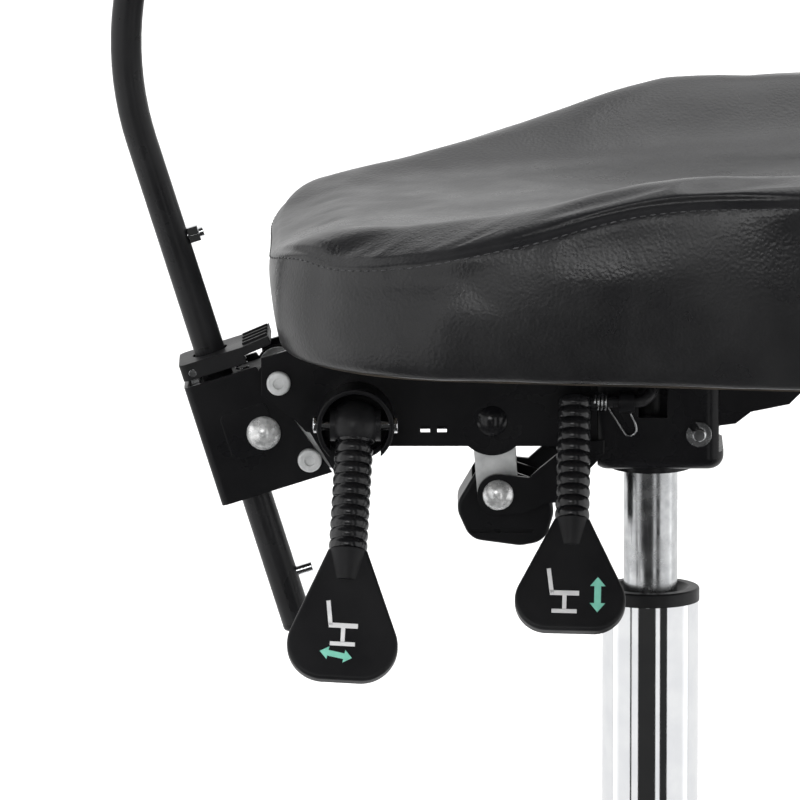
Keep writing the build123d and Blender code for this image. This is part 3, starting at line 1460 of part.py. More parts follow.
# Return spring of the lift lever: a coil round the shaft and a hairpin leg down the housing's face
spring_wire_d = 1.2
spring_pitch = 1.9
spring_half_turns = 7
spring_coil_r = lift_rod_r + spring_wire_d / 2 + 1.0
spring_x = -23.0 - spring_half_turns / 2 * spring_pitch
coil_base = Vector(spring_x, lift_y, lift_z)
out_side = Vector(0, -1, 0)
up_side = Vector(0, 0, 1)
along_x = Vector(1, 0, 0)
leg_y = lift_y + spring_coil_r
hairpin = (
    (Vector(-16.0, leg_y, 419.0), Vector(0.5, 0, -0.87).normalized()),
    (Vector(-11.6, leg_y, 414.8), Vector(1, 0, 0)),
    (Vector(-8.0, leg_y, 418.6), Vector(-0.1, 0, 1).normalized()),
    (Vector(-11.0, leg_y, 426.4), Vector(-0.4, 0, 1).normalized()),
)
with BuildPart() as lift_spring:
    with BuildLine() as spring_path:
        spot, heading = coil_point(coil_base, out_side, up_side, along_x, spring_coil_r, spring_pitch, 0)
        for half in range(2 * spring_half_turns):
            next_spot, next_heading = coil_point(
                coil_base, out_side, up_side, along_x, spring_coil_r, spring_pitch, (half + 1) / 4
            )
            add(biarc(spot, heading, next_spot, next_heading))
            spot, heading = next_spot, next_heading
        for next_spot, next_heading in hairpin:
            add(biarc(spot, heading, next_spot, next_heading))
            spot, heading = next_spot, next_heading
    first_spot, first_heading = coil_point(
        coil_base, out_side, up_side, along_x, spring_coil_r, spring_pitch, 0
    )
    with BuildSketch(Plane(origin=first_spot, z_dir=first_heading)):
        Circle(spring_wire_d / 2)
    sweep(path=spring_path.line)
save(lift_spring, "lift_spring")

# Spring under the thumb catch, between the guide block and the jam plate
catch_wire_d = 1.0
catch_coil_r = 3.2
catch_quarter_turns = 10
catch_u = -17.0
catch_low_a = block_top + catch_wire_d / 2 + seat_fit
catch_high_a = jam_top - jam_t - catch_wire_d / 2 - seat_fit
catch_pitch = (catch_high_a - catch_low_a) * 4 / catch_quarter_turns
catch_base = hinge + along * catch_u + upward * catch_low_a
with BuildPart() as tab_spring:
    with BuildLine() as catch_path:
        spot, heading = coil_point(catch_base, along, out_side, upward, catch_coil_r, catch_pitch, 0)
        for quarter in range(catch_quarter_turns):
            next_spot, next_heading = coil_point(
                catch_base, along, out_side, upward, catch_coil_r, catch_pitch, (quarter + 1) / 4
            )
            add(biarc(spot, heading, next_spot, next_heading))
            spot, heading = next_spot, next_heading
    first_spot, first_heading = coil_point(
        catch_base, along, out_side, upward, catch_coil_r, catch_pitch, 0
    )
    with BuildSketch(Plane(origin=first_spot, z_dir=first_heading)):
        Circle(catch_wire_d / 2)
    sweep(path=catch_path.line)
save(tab_spring, "tab_spring")


def seat_outline(inset, rear_r):
    """Plan of the seat, wider in front, with the rear corners' radius, drawn in all round by the inset."""
    with BuildSketch() as outline:
        for centre_x, half_w, corner in (
            (seat_x0 + rear_r, seat_rear_half_w, rear_r),
            (seat_x1 - seat_front_r, seat_half_w, seat_front_r),
        ):
            with Locations((centre_x, half_w - corner), (centre_x, corner - half_w)):
                Circle(corner - inset)
        make_hull()
    return outline.sketch


# Seat board of plywood under the cushion
board_z = seat_plate_z + seat_fit
with BuildPart() as seat_board:
    with BuildSketch(Plane.XY.offset(board_z)):
        add(seat_outline(board_inset, seat_rear_r))
        for bolt_x in seat_bolt_x:
            with Locations((bolt_x, seat_bolt_y), (bolt_x, -seat_bolt_y)):
                Circle(seat_bolt_d / 2 + seat_fit, mode=Mode.SUBTRACT)
    extrude(amount=seat_board_t)
save(seat_board, "seat_board")

with BuildPart() as seat_bolts:
    for bolt_x in seat_bolt_x:
        with BuildSketch(Plane.XY.offset(plate_under_z - seat_fit)):
            with Locations((bolt_x, seat_bolt_y), (bolt_x, -seat_bolt_y)):
                RegularPolygon(seat_bolt_d * 0.95, 6)
        extrude(amount=-seat_bolt_d * 0.65)
        with BuildSketch(Plane.XY.offset(plate_under_z - seat_fit)):
            with Locations((bolt_x, seat_bolt_y), (bolt_x, -seat_bolt_y)):
                Circle(seat_bolt_d / 2)
        extrude(amount=plate_t + seat_board_t - 1)
save(seat_bolts, "seat_bolts")

# Seat cushion: drawn-in side band, cut on top by a dished face that rises to the front
cushion_z = board_z + 1.0
# Up the side band: height, how far it is drawn in, and how much rounder its rear corners are
band_levels = ((0.0, 6.0, 0.0), (35.0, 0.0, 10.0), (70.0, 1.0, 40.0), (125.0, 5.0, 50.0))
crest_in = 19.0
edge_drop = 6.0
# Along the seat: place, half the width between the crests, crest height and centre height.
# Across it, the middle is flat to one share of that half width, and the wings' slopes start at another
seat_stations = (
    (-235.0, 60.0, 519.0, 515.0),
    (-190.0, 72.0, 526.0, 521.5),
    (-163.0, 97.0, 532.0, 526.0),
    (-127.0, 126.0, 536.5, 529.0),
    (-95.0, 141.0, 543.0, 531.0),
    (-55.0, 153.0, 552.0, 533.0),
    (-15.0, 160.0, 565.0, 535.0),
    (25.0, 168.0, 571.0, 537.0),
    (85.0, 176.0, 573.5, 540.0),
    (160.0, 150.0, 575.0, 552.0),
    (235.0, 100.0, 575.0, 573.0),
)
flat_share = 0.38
foot_share = 0.66
foot_rise = 0.2
with BuildPart() as dish_tool:
    for place, crest_y, crest_z, centre_z in seat_stations:
        with BuildSketch(Plane(origin=(place, 0, 0), x_dir=(0, 1, 0), z_dir=(1, 0, 0))):
            with BuildLine():
                edge_y = crest_y + crest_in
                far_y = seat_half_w * 1.2
                far_z = crest_z - edge_drop - (far_y - edge_y) * 0.45
                rise = crest_z - centre_z
                Spline(
                    (-far_y, far_z),
                    (-edge_y, crest_z - edge_drop),
                    (-crest_y, crest_z),
                    (-crest_y * foot_share, centre_z + rise * foot_rise),
                    (-crest_y * flat_share, centre_z),
                    (0, centre_z),
                    (crest_y * flat_share, centre_z),
                    (crest_y * foot_share, centre_z + rise * foot_rise),
                    (crest_y, crest_z),
                    (edge_y, crest_z - edge_drop),
                    (far_y, far_z),
                )
                Polyline(
                    (far_y, far_z), (far_y, 2 * seat_plate_z), (-far_y, 2 * seat_plate_z), (-far_y, far_z)
                )
            make_face()
    loft()
with BuildPart() as seat_cushion:
    for level, inset, rounder in band_levels:
        with BuildSketch(Plane.XY.offset(cushion_z + level)):
            add(seat_outline(inset, seat_rear_r + rounder))
    loft()
    add(dish_tool.part, mode=Mode.SUBTRACT)
    with BuildSketch(Plane.XY.offset(board_z - 1)):
        add(seat_outline(board_inset - seat_fit, seat_rear_r))
    extrude(amount=seat_board_t + 1 + seat_fit, mode=Mode.SUBTRACT)
save(seat_cushion, "seat_cushion")
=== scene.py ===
"""Looks of the swivel work stool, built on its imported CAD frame.

Metres, +Z up, in the CAD's own frame. The back stands at -X and the levers hang on the -Y side.
"""
import json
import math

import bmesh
import bpy
from mathutils import Matrix, Vector, noise
from mathutils.bvhtree import BVHTree


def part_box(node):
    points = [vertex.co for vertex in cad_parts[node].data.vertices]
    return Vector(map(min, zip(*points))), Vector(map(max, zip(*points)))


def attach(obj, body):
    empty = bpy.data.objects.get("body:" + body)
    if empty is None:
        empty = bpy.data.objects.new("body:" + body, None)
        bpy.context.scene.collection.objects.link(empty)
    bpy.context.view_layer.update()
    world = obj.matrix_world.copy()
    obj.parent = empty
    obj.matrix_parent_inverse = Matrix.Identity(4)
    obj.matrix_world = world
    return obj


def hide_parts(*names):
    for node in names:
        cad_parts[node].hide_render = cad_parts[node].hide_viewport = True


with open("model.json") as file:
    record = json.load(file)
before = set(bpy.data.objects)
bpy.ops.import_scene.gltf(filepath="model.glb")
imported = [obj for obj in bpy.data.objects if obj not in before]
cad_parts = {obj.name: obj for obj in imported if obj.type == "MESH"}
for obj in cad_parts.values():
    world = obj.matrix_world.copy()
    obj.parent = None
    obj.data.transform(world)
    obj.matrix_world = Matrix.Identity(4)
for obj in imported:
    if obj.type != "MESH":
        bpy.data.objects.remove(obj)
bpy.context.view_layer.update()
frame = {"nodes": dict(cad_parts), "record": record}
nodes = frame["nodes"]
MM = 0.001


# Camera: a long lens at the photo's height, which looks along +Y at the mechanism under the seat
VIEW_AIM = Vector((-130, 0, 428)) * MM
VIEW_DISTANCE = 8.0
VIEW_RISE = math.radians(10.3)
camera_data = bpy.data.cameras.new("camera")
camera_data.sensor_width = 36
camera_data.lens = 695
camera_data.clip_end = 100
camera = bpy.data.objects.new("camera", camera_data)
view_line = Vector((0, math.cos(VIEW_RISE), -math.sin(VIEW_RISE)))
camera.location = VIEW_AIM - view_line * VIEW_DISTANCE
camera.rotation_euler = view_line.to_track_quat("-Z", "Y").to_euler()
bpy.context.collection.objects.link(camera)
bpy.context.scene.camera = camera
bpy.context.scene.view_settings.view_transform = "Standard"


# Floor and light: a white floor under a wide soft overhead light, a sky that is dark on the camera's side so
# that black stays black, and soft boxes beside the camera that draw bands on the chrome
FLOOR_SIZE = 30.0


def link_mesh(name, mesh):
    """Object of a mesh, linked to the scene."""
    made = bpy.data.objects.new(name, mesh)
    bpy.context.collection.objects.link(made)
    return made


def shader_material(name, colour, roughness, metallic=0.0):
    """Node material with the shader's own values set; returns it with its tree and shader."""
    material = bpy.data.materials.new(name)
    material.use_nodes = True
    shader = material.node_tree.nodes["Principled BSDF"]
    shader.inputs["Base Color"].default_value = (*colour, 1)
    shader.inputs["Roughness"].default_value = roughness
    shader.inputs["Metallic"].default_value = metallic
    return material, material.node_tree, shader


floor_mesh = bpy.data.meshes.new("floor")
floor_build = bmesh.new()
bmesh.ops.create_grid(floor_build, x_segments=2, y_segments=2, size=FLOOR_SIZE / 2)
floor_build.to_mesh(floor_mesh)
floor_build.free()
floor = link_mesh("floor", floor_mesh)
floor_paint, floor_tree, floor_shader = shader_material("floor_paint", (0.9, 0.9, 0.9), 0.8)
floor_shader.inputs["Specular IOR Level"].default_value = 0.1
floor_mesh.materials.append(floor_paint)
floor.visible_glossy = False

SKY_DARK = 0.03
SKY_BRIGHT = 0.95
sky = bpy.data.worlds.new("sky")
sky.use_nodes = True
sky_tree = sky.node_tree
sky_tree.nodes["Background"].inputs["Color"].default_value = (1, 1, 1, 1)
sky_place = sky_tree.nodes.new("ShaderNodeTexCoord")
sky_axes = sky_tree.nodes.new("ShaderNodeSeparateXYZ")
sky_tree.links.new(sky_place.outputs["Generated"], sky_axes.inputs["Vector"])
sky_range = sky_tree.nodes.new("ShaderNodeMapRange")
sky_range.interpolation_type = "SMOOTHSTEP"
sky_range.inputs["From Min"].default_value = -0.2
sky_range.inputs["From Max"].default_value = 0.3
sky_range.inputs["To Min"].default_value = SKY_DARK
sky_range.inputs["To Max"].default_value = SKY_BRIGHT
sky_tree.links.new(sky_axes.outputs["Y"], sky_range.inputs["Value"])
sky_tree.links.new(sky_range.outputs["Result"], sky_tree.nodes["Background"].inputs["Strength"])
bpy.context.scene.world = sky

sun_lamp = bpy.data.lights.new("overhead", "SUN")
sun_lamp.energy = 3.3
sun_lamp.angle = math.radians(60)
sun = bpy.data.objects.new("overhead", sun_lamp)
sun.visible_glossy = False
bpy.context.collection.objects.link(sun)


def soft_box(name, place, target, size, power):
    """Large area light that faces a point."""
    lamp = bpy.data.lights.new(name, "AREA")
    lamp.shape = "RECTANGLE"
    lamp.size, lamp.size_y = size
    lamp.energy = power
    holder = bpy.data.objects.new(name, lamp)
    holder.location = place
    holder.rotation_euler = (Vector(target) - Vector(place)).to_track_quat("-Z", "Y").to_euler()
    holder.visible_camera = False
    bpy.context.collection.objects.link(holder)


BOX_AWAY = 3.0
BOX_MIDDLE = 0.3
BOX_TALL = 3.2
BOX_GLOW = 0.95


def side_box(name, first, last):
    """Tall soft box beside the camera, from one bearing to another in degrees to the right of the camera."""
    bearing = math.radians((first + last) / 2)
    wide = 2 * BOX_AWAY * math.tan(math.radians(last - first) / 2)
    place = Vector((math.sin(bearing), -math.cos(bearing), 0)) * BOX_AWAY + Vector((0, 0, BOX_MIDDLE))
    soft_box(name, place, (0, 0, BOX_MIDDLE), (wide, BOX_TALL), BOX_GLOW * math.pi * wide * BOX_TALL)


side_box("left_light", -100, -50)
side_box("left_strip", -46, -30)
side_box("right_strip", 12, 22)
side_box("right_light", 40, 100)
soft_box("top_light", (0.5, 0.9, 3.0), (0, 0, 0.5), (2.2, 1.6), 12)
soft_box("front_light", (-1.1, -4.3, 1.5), (-0.1, 0, 0.5), (1.6, 1.0), 20)


# Shared shader effects: patchy values, fine bumps and softened edges, each as a node group
def shader_group(name, inputs, output, kind):
    """Node group with float inputs and one output; returns it with its two end nodes."""
    group = bpy.data.node_groups.new(name, "ShaderNodeTree")
    for label, value in inputs:
        socket = group.interface.new_socket(name=label, in_out="INPUT", socket_type="NodeSocketFloat")
        socket.default_value = value
    group.interface.new_socket(name=output, in_out="OUTPUT", socket_type=kind)
    return group, group.nodes.new("NodeGroupInput"), group.nodes.new("NodeGroupOutput")


def group_noise(group, scale_from, detail):
    """Noise on object coordinates inside a group, its scale taken from a socket."""
    place = group.nodes.new("ShaderNodeTexCoord")
    cloud = group.nodes.new("ShaderNodeTexNoise")
    cloud.inputs["Detail"].default_value = detail
    group.links.new(place.outputs["Object"], cloud.inputs["Vector"])
    group.links.new(scale_from, cloud.inputs["Scale"])
    return cloud


patches, patches_in, patches_out = shader_group(
    "patches", (("Scale", 40), ("Low", 0.3), ("High", 0.5)), "Value", "NodeSocketFloat"
)
patch_noise = group_noise(patches, patches_in.outputs["Scale"], 4)
patch_range = patches.nodes.new("ShaderNodeMapRange")
patch_range.inputs["From Min"].default_value = 0.35
patch_range.inputs["From Max"].default_value = 0.65
patches.links.new(patch_noise.outputs["Fac"], patch_range.inputs["Value"])
patches.links.new(patches_in.outputs["Low"], patch_range.inputs["To Min"])
patches.links.new(patches_in.outputs["High"], patch_range.inputs["To Max"])
patches.links.new(patch_range.outputs["Result"], patches_out.inputs["Value"])

skin, skin_in, skin_out = shader_group(
    "soft_edges", (("Edge", 0.0005), ("Scale", 1500), ("Strength", 0.1)), "Normal", "NodeSocketVector"
)
skin_edge = skin.nodes.new("ShaderNodeBevel")
skin_edge.samples = 4
skin.links.new(skin_in.outputs["Edge"], skin_edge.inputs["Radius"])
skin_noise = group_noise(skin, skin_in.outputs["Scale"], 2)
skin_bump = skin.nodes.new("ShaderNodeBump")
skin_bump.inputs["Distance"].default_value = 0.0003
skin.links.new(skin_in.outputs["Strength"], skin_bump.inputs["Strength"])
skin.links.new(skin_noise.outputs["Fac"], skin_bump.inputs["Height"])
skin.links.new(skin_edge.outputs["Normal"], skin_bump.inputs["Normal"])
skin.links.new(skin_bump.outputs["Normal"], skin_out.inputs["Normal"])

grain, grain_in, grain_out = shader_group(
    "leather_grain", (("Scale", 620), ("Strength", 0.3)), "Normal", "NodeSocketVector"
)
grain_place = grain.nodes.new("ShaderNodeTexCoord")
grain_cells = grain.nodes.new("ShaderNodeTexVoronoi")
grain_cells.feature = "SMOOTH_F1"
grain.links.new(grain_place.outputs["Object"], grain_cells.inputs["Vector"])
grain.links.new(grain_in.outputs["Scale"], grain_cells.inputs["Scale"])
grain_bump = grain.nodes.new("ShaderNodeBump")
grain_bump.inputs["Distance"].default_value = 0.0006
grain.links.new(grain_in.outputs["Strength"], grain_bump.inputs["Strength"])
grain.links.new(grain_cells.outputs["Distance"], grain_bump.inputs["Height"])
grain_creases = grain.nodes.new("ShaderNodeTexNoise")
grain_creases.inputs["Scale"].default_value = 85
grain_creases.inputs["Detail"].default_value = 5
grain.links.new(grain_place.outputs["Object"], grain_creases.inputs["Vector"])
crease_bump = grain.nodes.new("ShaderNodeBump")
crease_bump.inputs["Distance"].default_value = 0.0015
crease_bump.inputs["Strength"].default_value = 0.12
grain.links.new(grain_creases.outputs["Fac"], crease_bump.inputs["Height"])
grain.links.new(grain_bump.outputs["Normal"], crease_bump.inputs["Normal"])
grain.links.new(crease_bump.outputs["Normal"], grain_out.inputs["Normal"])


def add_group(tree, group, output, target, **values):
    """Group node in a material, its values set and its output linked to a shader socket."""
    node = tree.nodes.new("ShaderNodeGroup")
    node.node_tree = group
    for label, value in values.items():
        node.inputs[label].default_value = value
    tree.links.new(node.outputs[output], target)


def tint(tree, shader, scale, dark, light):
    """Colour that drifts between two shades in soft patches."""
    blend = tree.nodes.new("ShaderNodeMix")
    blend.data_type = "RGBA"
    blend.inputs[6].default_value = (*dark, 1)
    blend.inputs[7].default_value = (*light, 1)
    add_group(tree, patches, "Value", blend.inputs[0], Scale=scale, Low=0, High=1)
    tree.links.new(blend.outputs[2], shader.inputs["Base Color"])


def finish_material(
    name, dark, light, drift, roughness, patch, scale, strength, metallic=0.0, specular=0.5, edge=0.0005
):
    """Material whose colour and roughness vary in patches, with a fine bump and softened edges."""
    low, high = roughness
    material, tree, shader = shader_material(name, light, low, metallic)
    shader.inputs["Specular IOR Level"].default_value = specular
    add_group(tree, patches, "Value", shader.inputs["Roughness"], Scale=patch, Low=low, High=high)
    add_group(tree, skin, "Normal", shader.inputs["Normal"], Edge=edge, Scale=scale, Strength=strength)
    tint(tree, shader, drift, dark, light)
    return material


# Materials of the CAD nodes, one for each slot of the record, and one for the dome bolts. Each has two shades
# and the scale they drift at, its roughness and the scale of its patches, and a fine bump.
# Black finishes reflect less than bare plastic would, so that flat faces stay dark.
DARK_SPECULAR = 0.24
FINISHES = {
    "powder_black": dict(
        dark=(0.005, 0.005, 0.006), light=(0.009, 0.009, 0.01), drift=18, roughness=(0.24, 0.34),
        specular=DARK_SPECULAR, patch=25, edge=0.0008, scale=1100, strength=0.16,
    ),
    "satin_black": dict(
        dark=(0.011, 0.011, 0.012), light=(0.018, 0.018, 0.019), drift=30, roughness=(0.24, 0.36),
        specular=DARK_SPECULAR, patch=60, scale=1800, strength=0.06,
    ),
    "chrome": dict(
        dark=(0.8, 0.81, 0.83), light=(0.86, 0.87, 0.88), drift=70, roughness=(0.05, 0.08),
        metallic=1.0, patch=55, scale=400, strength=0.01,
    ),
    "steel": dict(
        dark=(0.5, 0.51, 0.52), light=(0.66, 0.67, 0.68), drift=120, roughness=(0.16, 0.3),
        metallic=1.0, patch=90, scale=900, strength=0.03,
    ),
    "zinc": dict(
        dark=(0.52, 0.53, 0.53), light=(0.78, 0.79, 0.79), drift=95, roughness=(0.4, 0.56),
        metallic=0.45, patch=140, scale=700, strength=0.08,
    ),
    "plated_bolt": dict(
        dark=(0.5, 0.51, 0.51), light=(0.9, 0.9, 0.9), drift=320, roughness=(0.16, 0.34),
        metallic=0.55, patch=240, scale=500, strength=0.05,
    ),
    "plywood": dict(
        dark=(0.02, 0.017, 0.014), light=(0.05, 0.04, 0.03), drift=45, roughness=(0.6, 0.75),
        specular=DARK_SPECULAR, patch=30, scale=300, strength=0.3,
    ),
    "sleeve_black": dict(
        dark=(0.006, 0.006, 0.007), light=(0.011, 0.011, 0.012), drift=60, roughness=(0.14, 0.26),
        patch=110, scale=500, strength=0.04,
    ),
    "plastic_black": dict(
        dark=(0.008, 0.008, 0.009), light=(0.014, 0.014, 0.015), drift=22, roughness=(0.34, 0.46),
        specular=DARK_SPECULAR, patch=35, edge=0.0008, scale=2400, strength=0.2,
    ),
    "wheel_black": dict(
        dark=(0.014, 0.014, 0.015), light=(0.03, 0.03, 0.031), drift=50, roughness=(0.3, 0.48),
        patch=80, edge=0.0008, scale=900, strength=0.1,
    ),
}
materials = {name: finish_material(name, **values) for name, values in FINISHES.items()}

leather, leather_tree, leather_shader = shader_material("leather_black", (0.012, 0.012, 0.013), 0.42)
add_group(leather_tree, patches, "Value", leather_shader.inputs["Roughness"], Scale=28, Low=0.26, High=0.36)
add_group(leather_tree, grain, "Normal", leather_shader.inputs["Normal"], Scale=620, Strength=0.22)
tint(leather_tree, leather_shader, 14, (0.009, 0.009, 0.01), (0.016, 0.016, 0.017))
materials["leather_black"] = leather

for entry in frame["record"]["subparts"]:
    node = nodes[entry["node"]]
    node.data.materials.clear()
    node.data.materials.append(materials[entry["material_slot"]])
# Two metal pieces deep in the housing get the black powder finish as painted shade for their recess, and the
# two dome bolts get their bright mottled plating
for painted_shade_part in ("taper_socket", "jam_plate"):
    nodes[painted_shade_part].data.materials[0] = materials["powder_black"]
for bolt in ("guide_bolt", "link_bolt"):
    nodes[bolt].data.materials[0] = materials["plated_bolt"]


# Sewn covers: one closed skin over the foam, laid on the CAD solid, puffed by cloth pressure with its
# seams held, then creased at the seams. Grained black leather with a row of stitches under the top seam.
AROUND = 256
TOP_ROWS = 22
ROUND_ROWS = 8
SIDE_ROWS = 12
HELD_ROWS = 4
SEAM_ROW = TOP_ROWS + 4
STITCH_ROW = SEAM_ROW + 2
EDGE_ROUND = 13 * MM
SEAM_SINK = 1.6 * MM
SOLID_INSET = 1.2 * MM
# The rim is measured just inside the edge, and the rows of the top lie closer together near it
RIM_SHARE = 0.985
ROW_SPREAD = 0.8
# The side ends a little above the underside, then turns in under the pad to the board
SIDE_END = 2.5 * MM
TURN_IN = 3 * MM
UNDER_GAP = 0.4 * MM
# Rays start this far off, outside every pad
RAY_START = 1.0
# Cloth pressure, the most that it may move a point, and the frames it runs for
PUFF_PRESSURE = 4
PUFF_CAP = 4 * MM
PUFF_FRAMES = 20
# Unevenness of the stretched leather: scale and height in mm of a broad and a fine ripple
RIPPLES = ((22, 0.7), (60, 0.25))


def solid_tree(name):
    """Search tree of a CAD node's faces."""
    mesh = nodes[name].data
    return BVHTree.FromPolygons([v.co for v in mesh.vertices], [p.vertices for p in mesh.polygons])


class Pad:
    """A CAD cushion seen in its own frame, with its face up."""

    def __init__(self, node, centre, face, across, board_inset, board_depth):
        self.tree = solid_tree(node)
        self.face = face
        self.across = across
        self.up = face.cross(across)
        self.centre = centre
        self.board_inset = board_inset
        self.board_depth = board_depth
        flat = [self.height(v.co) for v in nodes[node].data.vertices]
        self.low = min(flat)
        self.high = max(flat)

    def height(self, point):
        """How far a point is out along the cushion's face direction."""
        return (point - self.centre).dot(self.face)

    def place(self, angle, reach, height):
        """Point of the row frame at an angle, a reach and a height of the cushion."""
        outward = self.across * math.cos(angle) + self.up * math.sin(angle)
        return self.centre + outward * reach + self.face * height

    def reach(self, angle, height):
        """Distance from the cushion's axis to its side at one height."""
        far = self.place(angle, RAY_START, height)
        inward = self.place(angle, 0, height) - far
        return RAY_START - self.tree.ray_cast(far, inward.normalized())[3]

    def top(self, angle, reach):
        """Height of the cushion's face at an angle and a reach."""
        above = self.place(angle, reach, RAY_START)
        return RAY_START - self.tree.ray_cast(above, -self.face)[3]


def cover_rows(pad, angle):
    """Reach and height of every row of the cover in one direction, from the face's middle to the board."""
    guess = pad.reach(angle, (pad.low + pad.high) / 2)
    rim = pad.top(angle, guess * RIM_SHARE)
    edge = pad.reach(angle, rim - EDGE_ROUND) - SOLID_INSET
    rows = []
    flat_share = 1 - EDGE_ROUND / edge
    for step in range(1, TOP_ROWS + 1):
        reach = edge * flat_share * (step / TOP_ROWS) ** ROW_SPREAD
        rows.append((reach, pad.top(angle, reach) - SOLID_INSET))
    rim = rows[-1][1]
    for step in range(1, ROUND_ROWS + 1):
        turn = math.pi / 2 * step / ROUND_ROWS
        rows.append((edge - EDGE_ROUND * (1 - math.sin(turn)), rim - EDGE_ROUND * (1 - math.cos(turn))))
    bottom = pad.low + SIDE_END
    start = rim - EDGE_ROUND
    for step in range(1, SIDE_ROWS + 1):
        height = start + (bottom - start) * step / SIDE_ROWS
        rows.append((pad.reach(angle, height) - SOLID_INSET, height))
    last = rows[-1][0]
    rows.append((last - TURN_IN, pad.low + UNDER_GAP))
    board = last - pad.board_inset
    rows.append((board, pad.low + UNDER_GAP))
    rows.append((board, pad.low + pad.board_depth))
    return rows


def sewn_cover(name, pad):
    """Closed cover of a pad; returns the object and its rows of vertex numbers."""
    build = bmesh.new()
    middle = build.verts.new(pad.place(0, 0, pad.top(0, 0) - SOLID_INSET))
    columns = []
    for step in range(AROUND):
        angle = 2 * math.pi * step / AROUND
        spots = [pad.place(angle, reach, height) for reach, height in cover_rows(pad, angle)]
        columns.append([build.verts.new(spot) for spot in spots])
    under = build.verts.new(pad.place(0, 0, pad.low + pad.board_depth))
    for step in range(AROUND):
        here = columns[step]
        after = columns[(step + 1) % AROUND]
        build.faces.new((middle, here[0], after[0]))
        for row in range(len(here) - 1):
            build.faces.new((here[row], here[row + 1], after[row + 1], after[row]))
        build.faces.new((under, after[-1], here[-1]))
    bmesh.ops.recalc_face_normals(build, faces=build.faces)
    build.verts.index_update()
    rows = [[column[row].index for column in columns] for row in range(len(columns[0]))]
    mesh = bpy.data.meshes.new(name)
    build.to_mesh(mesh)
    build.free()
    cover = link_mesh(name, mesh)
    puff_cover(cover, rows)
    normals = [vertex.normal.copy() for vertex in mesh.vertices]
    for index in rows[SEAM_ROW]:
        mesh.vertices[index].co -= normals[index] * SEAM_SINK
    for vertex in mesh.vertices:
        ripple = sum(noise.noise(vertex.co * scale) * height for scale, height in RIPPLES)
        vertex.co += normals[vertex.index] * ripple * MM
    mesh.polygons.foreach_set("use_smooth", [True] * len(mesh.polygons))
    finer = cover.modifiers.new("finer", "SUBSURF")
    finer.levels = 1
    finer.render_levels = 1
    mesh.materials.append(leather)
    return cover, rows


def puff_cover(cover, rows):
    """Blows the cover up a little with cloth pressure, its seams and underside held."""
    held = cover.vertex_groups.new(name="held")
    for row in [SEAM_ROW] + list(range(len(rows) - HELD_ROWS, len(rows))):
        held.add(rows[row], 1.0, "REPLACE")
    held.add([len(cover.data.vertices) - 1], 1.0, "REPLACE")
    rest = [vertex.co.copy() for vertex in cover.data.vertices]
    cloth = cover.modifiers.new("puff", "CLOTH")
    cloth.settings.vertex_group_mass = "held"
    cloth.settings.use_pressure = True
    cloth.settings.uniform_pressure_force = PUFF_PRESSURE
    cloth.settings.effector_weights.gravity = 0
    scene = bpy.context.scene
    for step in range(1, PUFF_FRAMES + 1):
        scene.frame_set(step)
    settled = cover.evaluated_get(bpy.context.evaluated_depsgraph_get()).to_mesh()
    moved = [vertex.co.copy() for vertex in settled.vertices]
    cover.modifiers.remove(cloth)
    scene.frame_set(1)
    for vertex, start, end in zip(cover.data.vertices, rest, moved):
        shift = end - start
        if shift.length > PUFF_CAP:
            shift = shift.normalized() * PUFF_CAP
        vertex.co = start + shift
    cover.vertex_groups.clear()


STITCH_LENGTH = 3.6 * MM
STITCH_PITCH = 5.2 * MM
STITCH_RADIUS = 0.42 * MM
STITCH_RISE = STITCH_RADIUS * 0.3
thread = finish_material(
    "thread", dark=(0.03, 0.03, 0.032), light=(0.06, 0.06, 0.063), drift=200, roughness=(0.35, 0.5),
    patch=300, scale=4000, strength=0.3,
)


def stitch_row(name, cover, row):
    """Stitches as short rounded threads along one row of a cover."""
    corners = [cover.data.vertices[index] for index in row]
    build = bmesh.new()
    left = STITCH_PITCH
    for here, after in zip(corners, corners[1:] + corners[:1]):
        run = after.co - here.co
        along = run.normalized()
        while left < run.length:
            spot = here.co + along * left + here.normal * STITCH_RISE
            turn = along.to_track_quat("Z", "Y").to_matrix().to_4x4()
            bmesh.ops.create_uvsphere(
                build, u_segments=6, v_segments=5, radius=1,
                matrix=Matrix.Translation(spot) @ turn
                @ Matrix.Diagonal((STITCH_RADIUS, STITCH_RADIUS, STITCH_LENGTH / 2, 1)),
            )
            left += STITCH_PITCH
        left -= run.length
    for face in build.faces:
        face.smooth = True
    mesh = bpy.data.meshes.new(name)
    build.to_mesh(mesh)
    build.free()
    mesh.materials.append(thread)
    stitches = link_mesh(name, mesh)
    return stitches


seat_low, seat_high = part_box("seat_cushion")
seat_centre = Vector(((seat_low[0] + seat_high[0]) / 2, 0, 0))
seat_pad = Pad(
    "seat_cushion", seat_centre, face=Vector((0, 0, 1)), across=Vector((1, 0, 0)),
    board_inset=6.6 * MM, board_depth=11.6 * MM,
)
seat_cover, seat_rows = sewn_cover("seat_cover", seat_pad)
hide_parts("seat_cushion")
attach(seat_cover, "seat_frame")
seat_stitches = stitch_row("seat_stitches", seat_cover, seat_rows[STITCH_ROW])
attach(seat_stitches, "seat_frame")


# Back pad's cover: the same sewn skin on the leaning pad, a rounded oblong with a crowned face
PAD_LEAN = math.radians(10)
pad_face = Vector((math.cos(PAD_LEAN), 0, -math.sin(PAD_LEAN)))
back_low, back_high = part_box("back_board")
back_centre = (Vector(back_low) + Vector(back_high)) / 2
back_pad = Pad(
    "back_cushion", back_centre, face=pad_face, across=Vector((0, 1, 0)),
    board_inset=3.3 * MM, board_depth=13 * MM,
)
back_cover, back_rows = sewn_cover("back_cover", back_pad)
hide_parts("back_cushion")
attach(back_cover, "back_rest")
back_stitches = stitch_row("back_stitches", back_cover, back_rows[STITCH_ROW])
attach(back_stitches, "back_rest")


